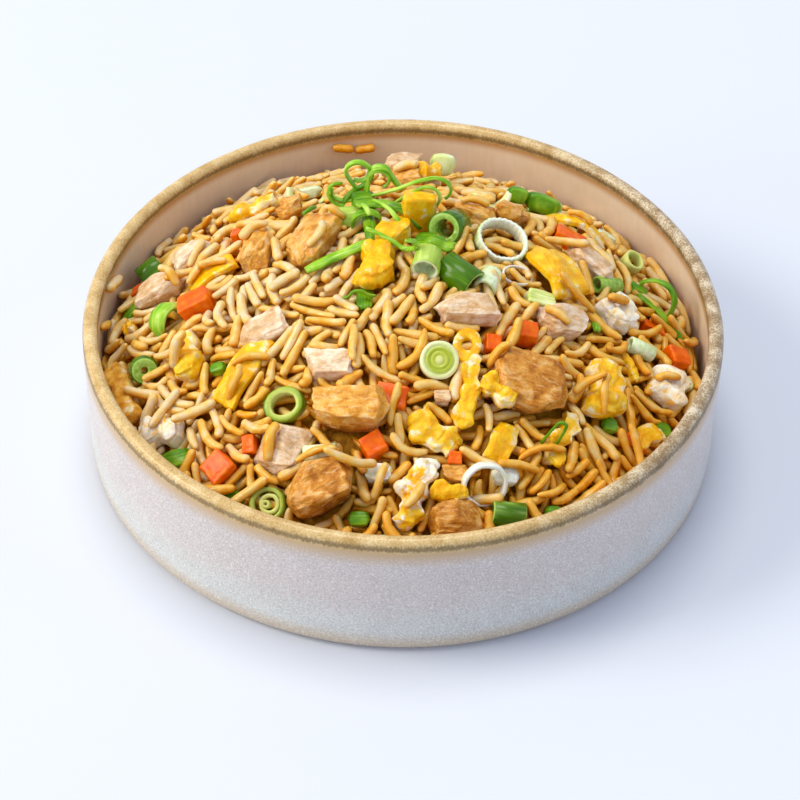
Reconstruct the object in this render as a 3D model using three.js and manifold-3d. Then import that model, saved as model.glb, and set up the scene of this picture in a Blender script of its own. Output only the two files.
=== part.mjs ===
// A low stoneware bowl heaped with chicken-and-egg fried rice and topped with scallion curls.
// Millimetres, +Z up, origin at the centre of the bowl's flat base.

import * as THREE from "three";
import { mergeVertices } from "three/addons/utils/BufferGeometryUtils.js";
import Module from "manifold-3d";

const wasm = await Module();
wasm.setup();

// ---------------------------------------------------------------- driving dimensions

const RIM_RADIUS = 100; // outside of the lip
const BOWL_HEIGHT = 47;
const FOOT_RADIUS = 95; // flat base
const BASE_ROUND = 4; // height of the rounded bottom edge
const WALL = 4.6; // thickness of the wall, a little less than the lip's
const FLOOR = 5;
const INNER_CORNER = 12; // radius between the floor and the wall inside
const BOWL_SIDES = 48;

const GAP = 0.3; // clearance between pieces that touch
const FINEST = 0.02; // detail under this size is left out
const WELD = 0.001; // corners closer than this are one corner
const WELL_RADIUS = RIM_RADIUS - WALL; // inside of the wall

const HEAP_RADIUS = 94;
const HEAP_EDGE = 28; // height of the food where it meets the wall
const HEAP_RISE = 38; // how far the mound climbs above its edge
const HEAP_LEAN = 0.1; // share by which the back half is fuller than the front half
const GRAIN_LAYER = 2; // the packed core lies this far below the mound's outline

const CORE_STEP = 8; // spacing of the core's uneven surface
const CORE_BUMP = 1.1; // how far that surface strays up or down

const TOUCH = 0.4; // cubic millimetres of overlap, before cutting, that count as resting
const DROP_STEP = 0.4;

const GRAIN_LENGTH = 12;
const GRAIN_RADIUS = 1.3;
const GRAIN_COUNT = 130;
const GRAIN_SEED = 20;
const GRAIN_HOLD = 3; // cubic millimetres of a grain that the core takes in

// ---------------------------------------------------------------- small helpers

const rad = THREE.MathUtils.degToRad;

// Seeded draws between 0 and 1, the same on every run.
function draws(seed) {
  let state = seed;
  return () => {
    state = (state * 16807) % 2147483647;
    return state / 2147483647;
  };
}

// A smooth value between -1 and 1 for a direction, different for each seed.
function wave(d, seed) {
  const broad = Math.sin(2.3 * d.x + 1.7 * seed) * Math.cos(1.9 * d.y - 2.3 * seed);
  const cross = Math.sin(3.1 * d.z + 2.9 * d.y + 0.7 * seed);
  return 0.5 * broad + 0.5 * cross;
}

function eachVertex(geometry, change) {
  const place = geometry.attributes.position;
  const v = new THREE.Vector3();
  for (let i = 0; i < place.count; i++) {
    v.fromBufferAttribute(place, i);
    change(v);
    place.setXYZ(i, v.x, v.y, v.z);
  }
  return geometry;
}

// A closed geometry as a manifold solid, turned right side out if need be.
function solid(geometry) {
  const bare = geometry.clone();
  bare.deleteAttribute("normal");
  bare.deleteAttribute("uv");
  const merged = mergeVertices(bare, WELD);
  const vertProperties = new Float32Array(merged.attributes.position.array);
  const triVerts = new Uint32Array(merged.index.array);
  const made = new wasm.Manifold(new wasm.Mesh({ numProp: 3, vertProperties, triVerts }));
  if (made.volume() > 0) return made;
  triVerts.reverse();
  return new wasm.Manifold(new wasm.Mesh({ numProp: 3, vertProperties, triVerts }));
}

// The largest body of a solid: a scrap that a cut leaves loose is dropped.
function largest(piece) {
  return piece.decompose().reduce((a, b) => (b.volume() > a.volume() ? b : a));
}

function geometryOf(piece) {
  const mesh = piece.getMesh();
  const points = new Float32Array(mesh.numVert * 3);
  for (let i = 0; i < mesh.numVert; i++) {
    points.set(mesh.vertProperties.subarray(i * mesh.numProp, i * mesh.numProp + 3), i * 3);
  }
  const geometry = new THREE.BufferGeometry();
  geometry.setAttribute("position", new THREE.BufferAttribute(points, 3));
  geometry.setIndex(new THREE.BufferAttribute(new Uint32Array(mesh.triVerts), 1));
  geometry.computeVertexNormals();
  return geometry;
}

// One body with nothing sealed inside it, and with slivers finer than FINEST taken out.
function cleaned(piece) {
  return geometryOf(largest(solid(geometryOf(piece.simplify(FINEST)))));
}

function finish(colour, roughness) {
  return new THREE.MeshStandardMaterial({ color: colour, roughness, metalness: 0 });
}

// ---------------------------------------------------------------- the mound

function heapHeight(x, y) {
  const share = (x * x + y * y) / (HEAP_RADIUS * HEAP_RADIUS);
  return HEAP_EDGE + HEAP_RISE * (1 - share) * (1 + (HEAP_LEAN * y) / HEAP_RADIUS);
}

function heapNormal(x, y) {
  const step = 1;
  const dx = (heapHeight(x + step, y) - heapHeight(x - step, y)) / (2 * step);
  const dy = (heapHeight(x, y + step) - heapHeight(x, y - step)) / (2 * step);
  return new THREE.Vector3(-dx, -dy, 1).normalize();
}

// Where a piece lies: turned about the slope's normal, then leaned towards the front
// (-Y) and to the right (+X). lift is its centre's height above the mound.
function seat({ at, lift = 0, turn = 0, lean = 0, side = 0 }) {
  const [x, y] = at;
  const up = new THREE.Vector3(0, 0, 1);
  const slope = new THREE.Quaternion().setFromUnitVectors(up, heapNormal(x, y));
  const spin = new THREE.Quaternion().setFromAxisAngle(up, rad(turn));
  const tip = new THREE.Quaternion().setFromEuler(new THREE.Euler(rad(lean), rad(side), 0, "YXZ"));
  const pose = tip.multiply(slope).multiply(spin);
  const place = new THREE.Vector3(x, y, heapHeight(x, y) + lift);
  return new THREE.Matrix4().compose(place, pose, new THREE.Vector3(1, 1, 1));
}

// ---------------------------------------------------------------- kinds of piece
// Each takes its sizes and `grow`, which swells it all round for cutting its neighbours.

// An uneven block or ball: square 0 is an egg shape, 1 a box; rough sets the dents.
function lump({ size, square = 0.4, rough = 0.12, seed = 1, cuts = 2 }, grow = 0) {
  const [length, width, height] = size.map((s) => s / 2 + grow);
  const d = new THREE.Vector3();
  return eachVertex(new THREE.BoxGeometry(2, 2, 2, cuts, cuts, cuts), (v) => {
    d.copy(v).normalize();
    v.multiplyScalar(square).addScaledVector(d, 1 - square);
    v.multiplyScalar(1 + rough * wave(d, seed));
    v.set(v.x * length, v.y * width, v.z * height);
  });
}

// Fluffy egg: one lump that swells into lobes along X, each set to one side of the last.
function curd({ size, lobes = 2, seed = 1, rough = 0.14, zigzag = 0.22 }, grow = 0) {
  const [length, width, height] = size.map((s) => s / 2 + grow);
  const d = new THREE.Vector3();
  return eachVertex(new THREE.BoxGeometry(2, 2, 2, 2 * lobes, 2, 2), (v) => {
    const along = v.x;
    const swell = 0.82 - 0.24 * Math.cos(Math.PI * lobes * (along + 1)) * (1 - along * along);
    d.copy(v).normalize();
    v.multiplyScalar(0.35).addScaledVector(d, 0.65);
    v.multiplyScalar(1 + rough * wave(d, seed));
    const x = THREE.MathUtils.lerp(v.x, along, 0.5) * length;
    const sway = zigzag * width * Math.sin(0.5 * Math.PI * lobes * along + seed);
    v.set(x, v.y * width * swell + sway, v.z * height * swell);
  });
}

// A sheet of omelette, arched along its length and rippled across it.
function fold({ size, thick = 3, arch = 0.6, ripple = 0.5, seed = 1 }, grow = 0) {
  const [length, width, height] = size;
  const rise = height - thick;
  return eachVertex(new THREE.BoxGeometry(length, width, thick, 4, 3, 1), (v) => {
    const along = v.x / (length / 2);
    const across = v.y / (width / 2);
    const middle = rise * (0.5 - arch * along * along) + ripple * Math.sin(2.6 * across + seed + along);
    const edge = 1 - 0.16 * along * along + 0.06 * Math.sin(5 * along + seed);
    const half = Math.sign(v.z) * (thick / 2 + grow) * (1 - 0.25 * across * across);
    v.set(v.x + Math.sign(along) * grow, v.y * edge + Math.sign(across) * grow, middle + half);
  });
}

// A cut length of scallion or green bean: an open tube along X.
function tube({ radius, wall, length, squash = 1, sides = 10 }, grow = 0) {
  const outer = radius + grow;
  const inner = Math.max(radius - wall - grow, 0.4);
  const half = length / 2 + grow;
  const profile = [
    [inner, -half],
    [outer, -half],
    [outer, half],
    [inner, half],
    [inner, -half],
  ].map(([r, h]) => new THREE.Vector2(r, h));
  return new THREE.LatheGeometry(profile, sides).rotateZ(Math.PI / 2).scale(1, 1, squash);
}

// A thin slice of one: an open ring about Z, out of round by `squash`.
function ring({ radius, wall, height, squash = 1, sides = 12 }, grow = 0) {
  const round = tube({ radius, wall, length: height, sides }, grow);
  return round.rotateY(Math.PI / 2).scale(1, squash, 1);
}

// A slice of scallion stem: a round of nested layers, with one step cut between them.
function disc({ radius, height, sides = 12 }, grow = 0) {
  const half = height / 2 + grow;
  const step = 0.5;
  const profile = [
    [0, -half],
    [radius + grow, -half],
    [radius + grow, half],
    [0.66 * radius, half],
    [0.6 * radius, half - step],
    [0, half - step],
  ].map(([r, h]) => new THREE.Vector2(r, h));
  return new THREE.LatheGeometry(profile, sides).rotateX(Math.PI / 2);
}

// A strip along a path in the XZ plane. bends lists its stretches, each as a length and
// the angle that it turns through; head is the first heading, and drift moves it along Y.
function ribbon({ bends, width, thick = 0.9, head = 0, drift = 0 }, grow = 0) {
  const stations = [{ x: 0, z: 0, heading: rad(head) }];
  for (const [length, angle] of bends) {
    const steps = Math.max(2, Math.ceil(Math.abs(angle) / 54));
    for (let i = 0; i < steps; i++) {
      const last = stations[stations.length - 1];
      const heading = last.heading + rad(angle) / steps;
      const mid = (last.heading + heading) / 2;
      const stride = length / steps;
      stations.push({
        x: last.x + stride * Math.cos(mid),
        z: last.z + stride * Math.sin(mid),
        heading,
      });
    }
  }
  const count = stations.length - 1;
  return eachVertex(new THREE.BoxGeometry(1, 1, 1, count, 1, 1), (v) => {
    const index = Math.round((v.x + 0.5) * count);
    const { x, z, heading } = stations[index];
    const off = Math.sign(v.z) * (thick / 2 + grow);
    const end = (index === count ? grow : 0) - (index === 0 ? grow : 0);
    v.set(
      x - off * Math.sin(heading) + end * Math.cos(heading),
      Math.sign(v.y) * (width / 2 + grow) + (drift * index) / count,
      z + off * Math.cos(heading) + end * Math.sin(heading),
    );
  });
}

// A long grain of rice, bowed in its own plane, with blunt ends.
function grain({ length, radius, bow }) {
  const sides = 5;
  const stations = [
    [-0.5, 0],
    [-0.5, 0.6],
    [0, 1],
    [0.5, 0.6],
    [0.5, 0],
  ];
  const profile = stations.map(([along, wide]) => new THREE.Vector2(wide * radius, along * length));
  return eachVertex(new THREE.LatheGeometry(profile, sides).rotateZ(Math.PI / 2), (v) => {
    const along = (2 * v.x) / length;
    v.y += bow * (1 - along * along);
  });
}

const KINDS = { lump, curd, fold, tube, ring, disc, ribbon };

// A placed piece as a solid. The scallion curls hold several strips, joined where they cross.
function placed(piece, grow = 0) {
  const parts = piece.strips || [piece];
  return parts.reduce((whole, part) => {
    const shape = KINDS[part.kind](part, grow);
    const one = (shape.isBufferGeometry ? solid(shape) : shape).transform(seat(part).elements);
    return whole ? whole.add(one) : one;
  }, null);
}

// ---------------------------------------------------------------- the bowl

function bowl() {
  const lip = WALL + 0.4;
  const inner = RIM_RADIUS - lip;
  const profile = [
    [0, 0],
    [FOOT_RADIUS, 0],
    [FOOT_RADIUS + 3, 1],
    [RIM_RADIUS - 0.9, BASE_ROUND],
    [RIM_RADIUS, BOWL_HEIGHT - 4],
    [RIM_RADIUS - 0.5, BOWL_HEIGHT - 1.2],
    [RIM_RADIUS - 1.7, BOWL_HEIGHT],
    [inner + 1.3, BOWL_HEIGHT - 0.1],
    [inner + 0.2, BOWL_HEIGHT - 1.5],
    [WELL_RADIUS, BOWL_HEIGHT - 4],
    [WELL_RADIUS - 0.6, FLOOR + INNER_CORNER],
  ].map(([r, z]) => new THREE.Vector2(r, z));
  const cornerSteps = 3;
  for (let i = 1; i <= cornerSteps; i++) {
    const turn = (i / cornerSteps) * (Math.PI / 2);
    profile.push(
      new THREE.Vector2(
        WELL_RADIUS - 0.6 - INNER_CORNER * (1 - Math.cos(turn)),
        FLOOR + INNER_CORNER * (1 - Math.sin(turn)),
      ),
    );
  }
  profile.push(new THREE.Vector2(0, FLOOR));
  return new THREE.LatheGeometry(profile, BOWL_SIDES).rotateX(Math.PI / 2);
}

// ---------------------------------------------------------------- the rice

// The plug of space inside the bowl, a gap away from it, up to `top`.
function well(top, reachMore = 0) {
  const reach = (WELL_RADIUS - 0.6) * Math.cos(Math.PI / BOWL_SIDES) - GAP + reachMore;
  const bottom = FLOOR + GAP;
  const profile = [
    [0, bottom],
    [reach - INNER_CORNER, bottom],
    [reach - 3.5, bottom + 3.5],
    [reach, bottom + INNER_CORNER],
    [reach, top],
    [0, top],
  ].map(([r, z]) => new THREE.Vector2(r, z));
  return solid(new THREE.LatheGeometry(profile, BOWL_SIDES).rotateX(Math.PI / 2));
}

// The packed core: the well up to an uneven mound, which `lift` raises.
function core(lift) {
  const draw = draws(7);
  const cells = Math.round((2 * RIM_RADIUS) / CORE_STEP);
  const slab = new THREE.BoxGeometry(2 * RIM_RADIUS, 2 * RIM_RADIUS, 1, cells, cells, 1);
  const nudges = new Map();
  eachVertex(slab, (v) => {
    if (v.z < 0) {
      v.z = -1;
      return;
    }
    const key = Math.round(v.x) + "," + Math.round(v.y);
    if (!nudges.has(key)) nudges.set(key, [draw() - 0.5, draw() - 0.5, 2 * draw() - 1]);
    const [right, back, up] = nudges.get(key);
    if (Math.max(Math.abs(v.x), Math.abs(v.y)) < RIM_RADIUS - 1) {
      v.x += 0.5 * CORE_STEP * right;
      v.y += 0.5 * CORE_STEP * back;
    }
    v.z = heapHeight(v.x, v.y) - GRAIN_LAYER + CORE_BUMP * up + lift;
  });
  return solid(slab).intersect(well(2 * BOWL_HEIGHT, lift));
}

// Loose grains lying on the core, on a sunflower spiral so that they are spread evenly.
// One that would cross a topping is skipped, and one that misses the core is lowered to it.
function addGrains(start, clearOf) {
  const draw = draws(GRAIN_SEED);
  const golden = Math.PI * (3 - Math.sqrt(5));
  let whole = start;
  for (let i = 0; i < GRAIN_COUNT; i++) {
    const radius = (WELL_RADIUS - 5) * Math.sqrt((i + 0.5) / GRAIN_COUNT);
    const at = [radius * Math.cos(i * golden), radius * Math.sin(i * golden)];
    const turn = 360 * draw();
    const lean = 30 * (draw() - 0.5);
    const side = 30 * (draw() - 0.5);
    const length = GRAIN_LENGTH * (0.8 + 0.35 * draw());
    const bow = 1.8 * draw();
    for (let lift = GRAIN_RADIUS + 0.8; lift > -GRAIN_RADIUS; lift -= 0.4) {
      const pose = seat({ at, lift: lift - GRAIN_LAYER, turn, lean, side }).elements;
      const swollen = solid(grain({ length: length + 2 * GAP, radius: GRAIN_RADIUS + GAP, bow }));
      if (swollen.transform(pose).intersect(clearOf).volume() > 0) break;
      const one = solid(grain({ length, radius: GRAIN_RADIUS, bow })).transform(pose);
      if (one.intersect(start).volume() < GRAIN_HOLD) continue;
      whole = whole.add(one);
      break;
    }
  }
  return whole;
}

// ---------------------------------------------------------------- the toppings
// at is the place over the bowl, size is length, width, height before turning.

const BEAN_GREEN = 0x3f8a1c;
const SCALLION_GREEN = 0x7fb52a;
const CARROT_ORANGE = 0xe8701a;
const EGG_YELLOW = 0xf3b92a;
const CHICKEN_BROWN = 0xc98434;
const CHICKEN_PALE = 0xd9b48a;

const scallions = {
  bean_top: { kind: "tube", at: [14, 19], lift: 4, turn: 70, lean: 18, radius: 5.4, wall: 1.6, length: 12 },
  bean_top_low: { kind: "tube", at: [17, -3], lift: 1.5, turn: -40, radius: 5.2, wall: 1.6, length: 12 },
  onion_half: { kind: "tube", at: [7, -1], lift: 3, turn: 80, lean: 20, radius: 4.4, wall: 1.2, length: 8 },
  ring_large: {
    kind: "ring", at: [30, 15], lift: 4.5, turn: -20,
    lean: 22, radius: 8.4, wall: 1.3, height: 5, squash: 0.88,
  },
  onion_slice: { kind: "disc", at: [11, -36], lift: 2, lean: 24, radius: 5.9, height: 4 },
  ring_green: {
    kind: "ring", at: [-35, -47], lift: 1.5, turn: 15,
    lean: 8, radius: 6.3, wall: 1.4, height: 4, squash: 0.85,
  },
  ring_front_left: { kind: "ring", at: [-39, -74], lift: 1, lean: 10, radius: 5.5, wall: 3.2, height: 4 },
  ring_white: { kind: "ring", at: [25, -71], lift: 4, lean: 40, side: 8, radius: 7, wall: 1.2, height: 3 },
  bean_left_back: { kind: "tube", at: [-81, 31], lift: 1.5, turn: 25, radius: 4.3, wall: 1.5, length: 8 },
  bean_left: {
    kind: "tube", at: [-80, -18], lift: 1.5,
    turn: 100, lean: 50, radius: 4.4, wall: 2, length: 6,
  },
  bean_front: { kind: "tube", at: [32, -76], lift: 0, turn: 0, radius: 4, wall: 1.4, length: 10 },
  onion_band: {
    kind: "ribbon", at: [-76, -6], lift: 1, turn: 60,
    lean: 10, bends: [[12, -130], [7, -50]], width: 7, head: 80,
  },
};

const carrots = {
  carrot_left: { size: [10.5, 8, 8], at: [-64, -1], lift: 1.5, turn: 8, seed: 1 },
  carrot_front_left: { size: [8.5, 8.5, 8], at: [-54, -61], lift: 1, turn: 38, seed: 3 },
  carrot_centre: { size: [9.5, 7, 7], at: [-3, -47], lift: 0, turn: -12, seed: 4 },
  carrot_centre_front: { size: [7, 6.5, 7], at: [-8, -61], lift: 0, turn: 30, seed: 5 },
  carrot_right_mid: { size: [7, 6, 6.5], at: [37, -21], lift: 1, turn: 4, seed: 6 },
  carrot_back_right: { size: [9.5, 7, 5], at: [52, 32], lift: 0.5, turn: -14, seed: 7 },
  carrot_right_rim: { size: [7, 6.5, 6.5], at: [85, -6], lift: 0.5, turn: 20, seed: 8 },
};

const eggs = {
  egg_top: { kind: "curd", size: [26, 12, 10], at: [-7, 6], lift: 3, turn: 76, lobes: 3, seed: 1 },
  egg_block: { kind: "lump", size: [11, 10, 16], at: [4, 23], lift: 5, turn: 10, square: 0.6, seed: 2 },
  egg_right_big: {
    kind: "fold", size: [20, 15, 9], at: [47, 7], lift: 2.5, turn: -55, thick: 4, arch: 0.5, seed: 3,
  },
  egg_back_left: { kind: "curd", size: [18, 10, 8], at: [-49, 48], lift: 1, turn: 5, lobes: 2, seed: 4 },
  egg_yellow_left: { kind: "fold", size: [17, 8, 6], at: [-60, 13], lift: 1, turn: 28, seed: 5 },
  egg_curd_left: {
    kind: "curd", size: [18, 10, 9], at: [-66, -20],
    lift: 1.5, turn: 95, lobes: 2, seed: 6,
  },
  egg_bright_left: { kind: "fold", size: [25, 9, 6], at: [-48, -32], lift: 0.5, turn: 55, seed: 7 },
  egg_left_rim: { kind: "curd", size: [27, 8, 7], at: [-86, -23], lift: 1, turn: -70, lobes: 3, seed: 8 },
  egg_cream_left: { kind: "curd", size: [15, 12, 9], at: [-73, -43], lift: 1, turn: 5, lobes: 2, seed: 9 },
  egg_ring: {
    kind: "ring", at: [19, -30], lift: 0.5, turn: 80,
    radius: 6, wall: 3.6, height: 7, squash: 0.72, sides: 9,
  },
  egg_curl: { kind: "curd", size: [24, 8, 8], at: [20, -45], lift: 2, turn: 84, lobes: 3, seed: 11 },
  egg_centre: { kind: "curd", size: [17, 13, 8], at: [10, -57], lift: 1, turn: -40, lobes: 2, seed: 12 },
  egg_strip_front: {
    kind: "fold", size: [13, 8, 5], at: [30, -57],
    lift: 0.5, turn: 70, thick: 2.5, seed: 13,
  },
  egg_front: { kind: "curd", size: [22, 10, 9], at: [4, -74], lift: 1.5, turn: 74, lobes: 3, seed: 14 },
  egg_front_rim: {
    kind: "curd", size: [21, 7, 6], at: [-27, -84],
    lift: 3.5, turn: -16, lobes: 3, seed: 15,
  },
  egg_back_right: {
    kind: "fold", size: [22, 9, 8], at: [55, 43],
    lift: 1.5, turn: -12, arch: 0.8, seed: 16,
  },
  egg_white_right: { kind: "curd", size: [15, 13, 9], at: [67, 1], lift: 1, turn: 50, lobes: 2, seed: 17 },
  egg_right: { kind: "curd", size: [20, 14, 10], at: [62, -32], lift: 1.5, turn: 85, lobes: 2, seed: 18 },
  egg_right_rim: { kind: "curd", size: [14, 12, 10], at: [82, -21], lift: 2, turn: 60, lobes: 2, seed: 19 },
  egg_right_front: {
    kind: "curd", size: [14, 7, 6], at: [75, -41],
    lift: 0.5, turn: 35, lobes: 2, seed: 20,
  },
  egg_front_right: {
    kind: "curd", size: [20, 8, 7], at: [48, -52],
    lift: 0.5, turn: 68, lobes: 3, seed: 21,
  },
};

const browned = {
  chicken_centre: { size: [23, 15, 15], at: [-16, -51], lift: 3, turn: -8, cuts: 3, seed: 1 },
  chicken_front: { size: [20, 17, 16], at: [-24, -72], lift: 2, turn: 20, cuts: 3, seed: 2 },
  chicken_right: { size: [25, 18, 16], at: [37, -39], lift: 2.5, turn: -14, cuts: 3, seed: 3 },
  chicken_striped: { size: [23, 14, 12], at: [-28, 17], lift: 1.5, turn: 62, seed: 4 },
  chicken_left: { size: [16, 10, 11], at: [-46, 16], lift: 1, turn: 75, seed: 5 },
  chicken_front_right: { size: [17, 12, 12], at: [17, -80], lift: 0.5, turn: 6, seed: 6 },
  chicken_back: { size: [12, 9, 9], at: [0, 53], lift: 3, turn: -8, seed: 7 },
  chicken_back_right: { size: [16, 9, 8], at: [22, 31], lift: 1, turn: -18, seed: 8 },
};

const pale = {
  chicken_finger: { size: [24, 10, 9], at: [21, -17], lift: 2, turn: 8, seed: 9 },
  chicken_cream_right: { size: [18, 12, 8], at: [49, -13], lift: 1.5, turn: 12, seed: 10 },
  chicken_right_back: { size: [17, 10, 8], at: [58, 21], lift: 0.5, turn: -32, seed: 11 },
  chicken_pink_left: { size: [16, 12, 9], at: [-77, 16], lift: 1.5, turn: 8, seed: 12 },
  chicken_cream_left: { size: [15, 10, 8], at: [-68, 30], lift: 1, turn: 35, seed: 13 },
  chicken_slice_left: { size: [18, 10, 7], at: [-43, -19], lift: 1, turn: 16, seed: 14 },
  chicken_pale_centre: { size: [18, 10, 8], at: [-22, -36], lift: 0.5, turn: -6, seed: 15 },
  chicken_flat: { size: [16, 16, 8], at: [-35, -58], lift: -0.5, turn: -24, seed: 16 },
};

// The tangle of scallion strips on top.
const curls = {
  scallion_curls: {
    strips: [
      { kind: "tube", at: [-17, 24], lift: 3, lean: 10, radius: 4.2, wall: 1.2, length: 13, sides: 9 },
      { at: [-14, 31], lift: 8, lean: 14, bends: [[9, 0], [22, -320]], width: 2.2, head: 112 },
      { at: [-13, 31], lift: 6, lean: 14, bends: [[11, 0], [9, -150], [8, 20]], width: 3.2, head: 76 },
      { at: [-13, 29], lift: 9, lean: 14, bends: [[6, -10], [8, -130]], width: 1.6, head: 200 },
      { at: [-7, 19], lift: 4.5, lean: 8, bends: [[25, 310]], width: 2.6, head: 95 },
      { at: [-16, 25], lift: 9, lean: 8, bends: [[9, -5], [15, -80]], width: 4, head: 8, drift: -6 },
      { at: [-12, 27], lift: 6, turn: -84, bends: [[20, -10]], width: 4 },
      { at: [-12, 9], lift: 6, bends: [[10, -15], [15, 200]], width: 3.2, head: -20, drift: -17 },
      { at: [-9, 10], lift: 4.5, turn: 204, bends: [[24, -8]], width: 4.2, head: -4 },
      { at: [-14, 28], lift: 9, lean: 14, bends: [[17, 20], [7, -20], [13, -150]], width: 1.4, head: 5 },
      { kind: "lump", at: [-13, 28], lift: 7, size: [8, 6, 7], seed: 6, square: 0.3 },
    ],
  },
  scallion_curl_right: {
    strips: [
      {
        kind: "ribbon", at: [74, 22], lift: 1, turn: -35,
        bends: [[9, -60], [9, -100], [7, 30]], width: 2.6, head: 80,
      },
      {
        kind: "ribbon", at: [74, 18], lift: 0.5, turn: -30,
        bends: [[15, -20], [9, -60]], width: 2.4, head: 10,
      },
      { kind: "lump", at: [74, 20], lift: 0.5, size: [7, 5, 4], seed: 8, square: 0.3 },
    ],
  },
};

// Bits under the size of a berry, joined to the rice that they lie on.
const smallBits = [
  { size: [7, 5, 5], at: [-51, 31], lift: 0.5 },
  { size: [8, 6, 6], at: [7, 11], lift: 1.5 },
  { size: [8, 7, 7], at: [-37, 38], lift: 1 },
  { size: [7, 7, 6], at: [8, 55], lift: 1 },
  { size: [7, 7, 7], at: [13, 62], lift: 1 },
  { size: [10, 8, 7], at: [34, 38], lift: 0 },
  { size: [11, 8, 7], at: [45, 54], lift: 0 },
  { size: [7, 6, 5], at: [73, 34], lift: 0.5 },
  { size: [8, 8, 6], at: [26, -3], lift: 1 },
  { size: [8, 6, 5], at: [42, -6], lift: 0.5 },
  { size: [8, 3, 4], at: [78, 3], lift: 0 },
  { size: [9, 5, 4], at: [74, -9], lift: 0.5 },
  { size: [14, 5, 4], at: [70, -17], lift: 0, turn: -60 },
  { size: [7, 5, 4], at: [71, -44], lift: 0 },
  { size: [5, 6, 7], at: [27, -27], lift: -0.5 },
  { size: [5, 5, 6], at: [12, -46], lift: 0.5 },
  { size: [8, 7, 6], at: [16, -67], lift: 0 },
  { size: [8, 7, 7], at: [31, -66], lift: 0.5 },
  { size: [8, 7, 5], at: [-7, -68], lift: 0.5 },
  { size: [7, 4, 5], at: [8, -66], lift: 0.5 },
  { size: [4, 6, 6], at: [-45, -56], lift: 0 },
  { size: [10, 7, 4], at: [-68, -53], lift: 0 },
  { size: [5, 8, 7], at: [-86, 5], lift: 0.5 },
  { size: [12, 5, 4], at: [-33, 54], lift: 0.5 },
  { size: [5, 11, 2.5], at: [-12, -17], lift: 0 },
  { size: [6, 5, 5], at: [46, -73], lift: 0 },
  { size: [3, 9, 3], at: [60, -10], lift: 0.5 },
  { size: [10, 6, 5], at: [64, 14], lift: 0.5, turn: 30 },
  { size: [10, 4, 5], at: [-24, -61.5], lift: 0.5 },
  { size: [6, 5, 5], at: [-12, -80], lift: 0 },
  { size: [5, 5, 4], at: [88, -13], lift: 0 },
  { size: [5, 5, 4], at: [80, -36], lift: 0.5 },
  { size: [5, 5, 4], at: [63, -42], lift: 0 },
  { size: [5, 4, 4], at: [-56, -28], lift: 0 },
  { size: [6, 4, 4], at: [-45, 29], lift: 0 },
  { size: [7, 6, 4], at: [65, 50], lift: 0 },
  { size: [5, 5, 4], at: [-84, 24], lift: 0 },
  { size: [9, 5, 3], at: [-86, 14], lift: 0, turn: 60 },
];

// ---------------------------------------------------------------- putting it together

const kindOf = (kind, extra) => (row) => ({ kind, ...extra, ...row });

const toppings = [
  ...rows(curls, SCALLION_GREEN, kindOf("ribbon")),
  ...rows(scallions, BEAN_GREEN, kindOf("tube")),
  ...rows(carrots, CARROT_ORANGE, kindOf("lump", { square: 1, rough: 0.09, cuts: 1 })),
  ...rows(eggs, EGG_YELLOW, kindOf("curd")),
  ...rows(browned, CHICKEN_BROWN, kindOf("lump", { square: 0.55, rough: 0.16 })),
  ...rows(pale, CHICKEN_PALE, kindOf("lump", { square: 0.45, rough: 0.18 })),
];

function rows(table, colour, dress) {
  return Object.entries(table).map(([name, row]) => {
    const piece = row.strips ? { strips: row.strips.map(dress) } : dress(row);
    return { name, colour, piece };
  });
}

// How far a piece is lowered until it rests on what is already there.
function settle(body, below) {
  let drop = 0;
  while (drop < 4 && body.translate(0, 0, -drop).intersect(below).volume() < TOUCH) drop += DROP_STEP;
  return drop;
}

// The bowl's wall, swollen inwards by the gap: loose grains stay out of it.
function bowlSpace() {
  const reach = 2 * RIM_RADIUS;
  const block = solid(new THREE.BoxGeometry(reach, reach, 6 * BOWL_HEIGHT));
  return block.subtract(well(4 * BOWL_HEIGHT));
}

const group = new THREE.Group();

// Adds a mesh in its own frame: the geometry comes in place over the bowl, and pose says
// where the piece's frame stands.
function addMesh(name, geometry, material, pose = new THREE.Matrix4()) {
  const mesh = new THREE.Mesh(geometry.applyMatrix4(pose.clone().invert()), material);
  mesh.name = name;
  mesh.applyMatrix4(pose);
  group.add(mesh);
}

addMesh("bowl", bowl(), finish(0xd8cdbf, 0.35));

const limit = well(3 * BOWL_HEIGHT);
const outside = bowlSpace();
const raisedCore = core(GAP);
let taken = raisedCore;
for (const { name, colour, piece } of toppings) {
  const drop = settle(placed(piece), taken);
  const body = placed(piece).translate(0, 0, -drop).intersect(limit).subtract(taken);
  addMesh(name, cleaned(body), finish(colour, 0.5), seat(piece.strips ? piece.strips[0] : piece));
  taken = taken.add(placed(piece, GAP).translate(0, 0, -drop));
}

const toppingSpace = taken.subtract(raisedCore);
let heap = core(0);
for (const bit of smallBits) {
  const body = placed({ kind: "lump", square: 0.4, cuts: 1, ...bit });
  heap = heap.add(largest(body.intersect(limit).subtract(toppingSpace)));
}
heap = addGrains(heap, toppingSpace.add(outside));
addMesh("rice", cleaned(heap), finish(0xdcb67e, 0.45));

export default group;
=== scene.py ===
"""A low stoneware bowl heaped with chicken-and-egg fried rice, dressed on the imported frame.

Shapes are worked out in millimetres and written to Blender in metres.
"""

import math
from itertools import product

import bpy
import numpy as np
from mathutils import Matrix, Quaternion, Vector


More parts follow.
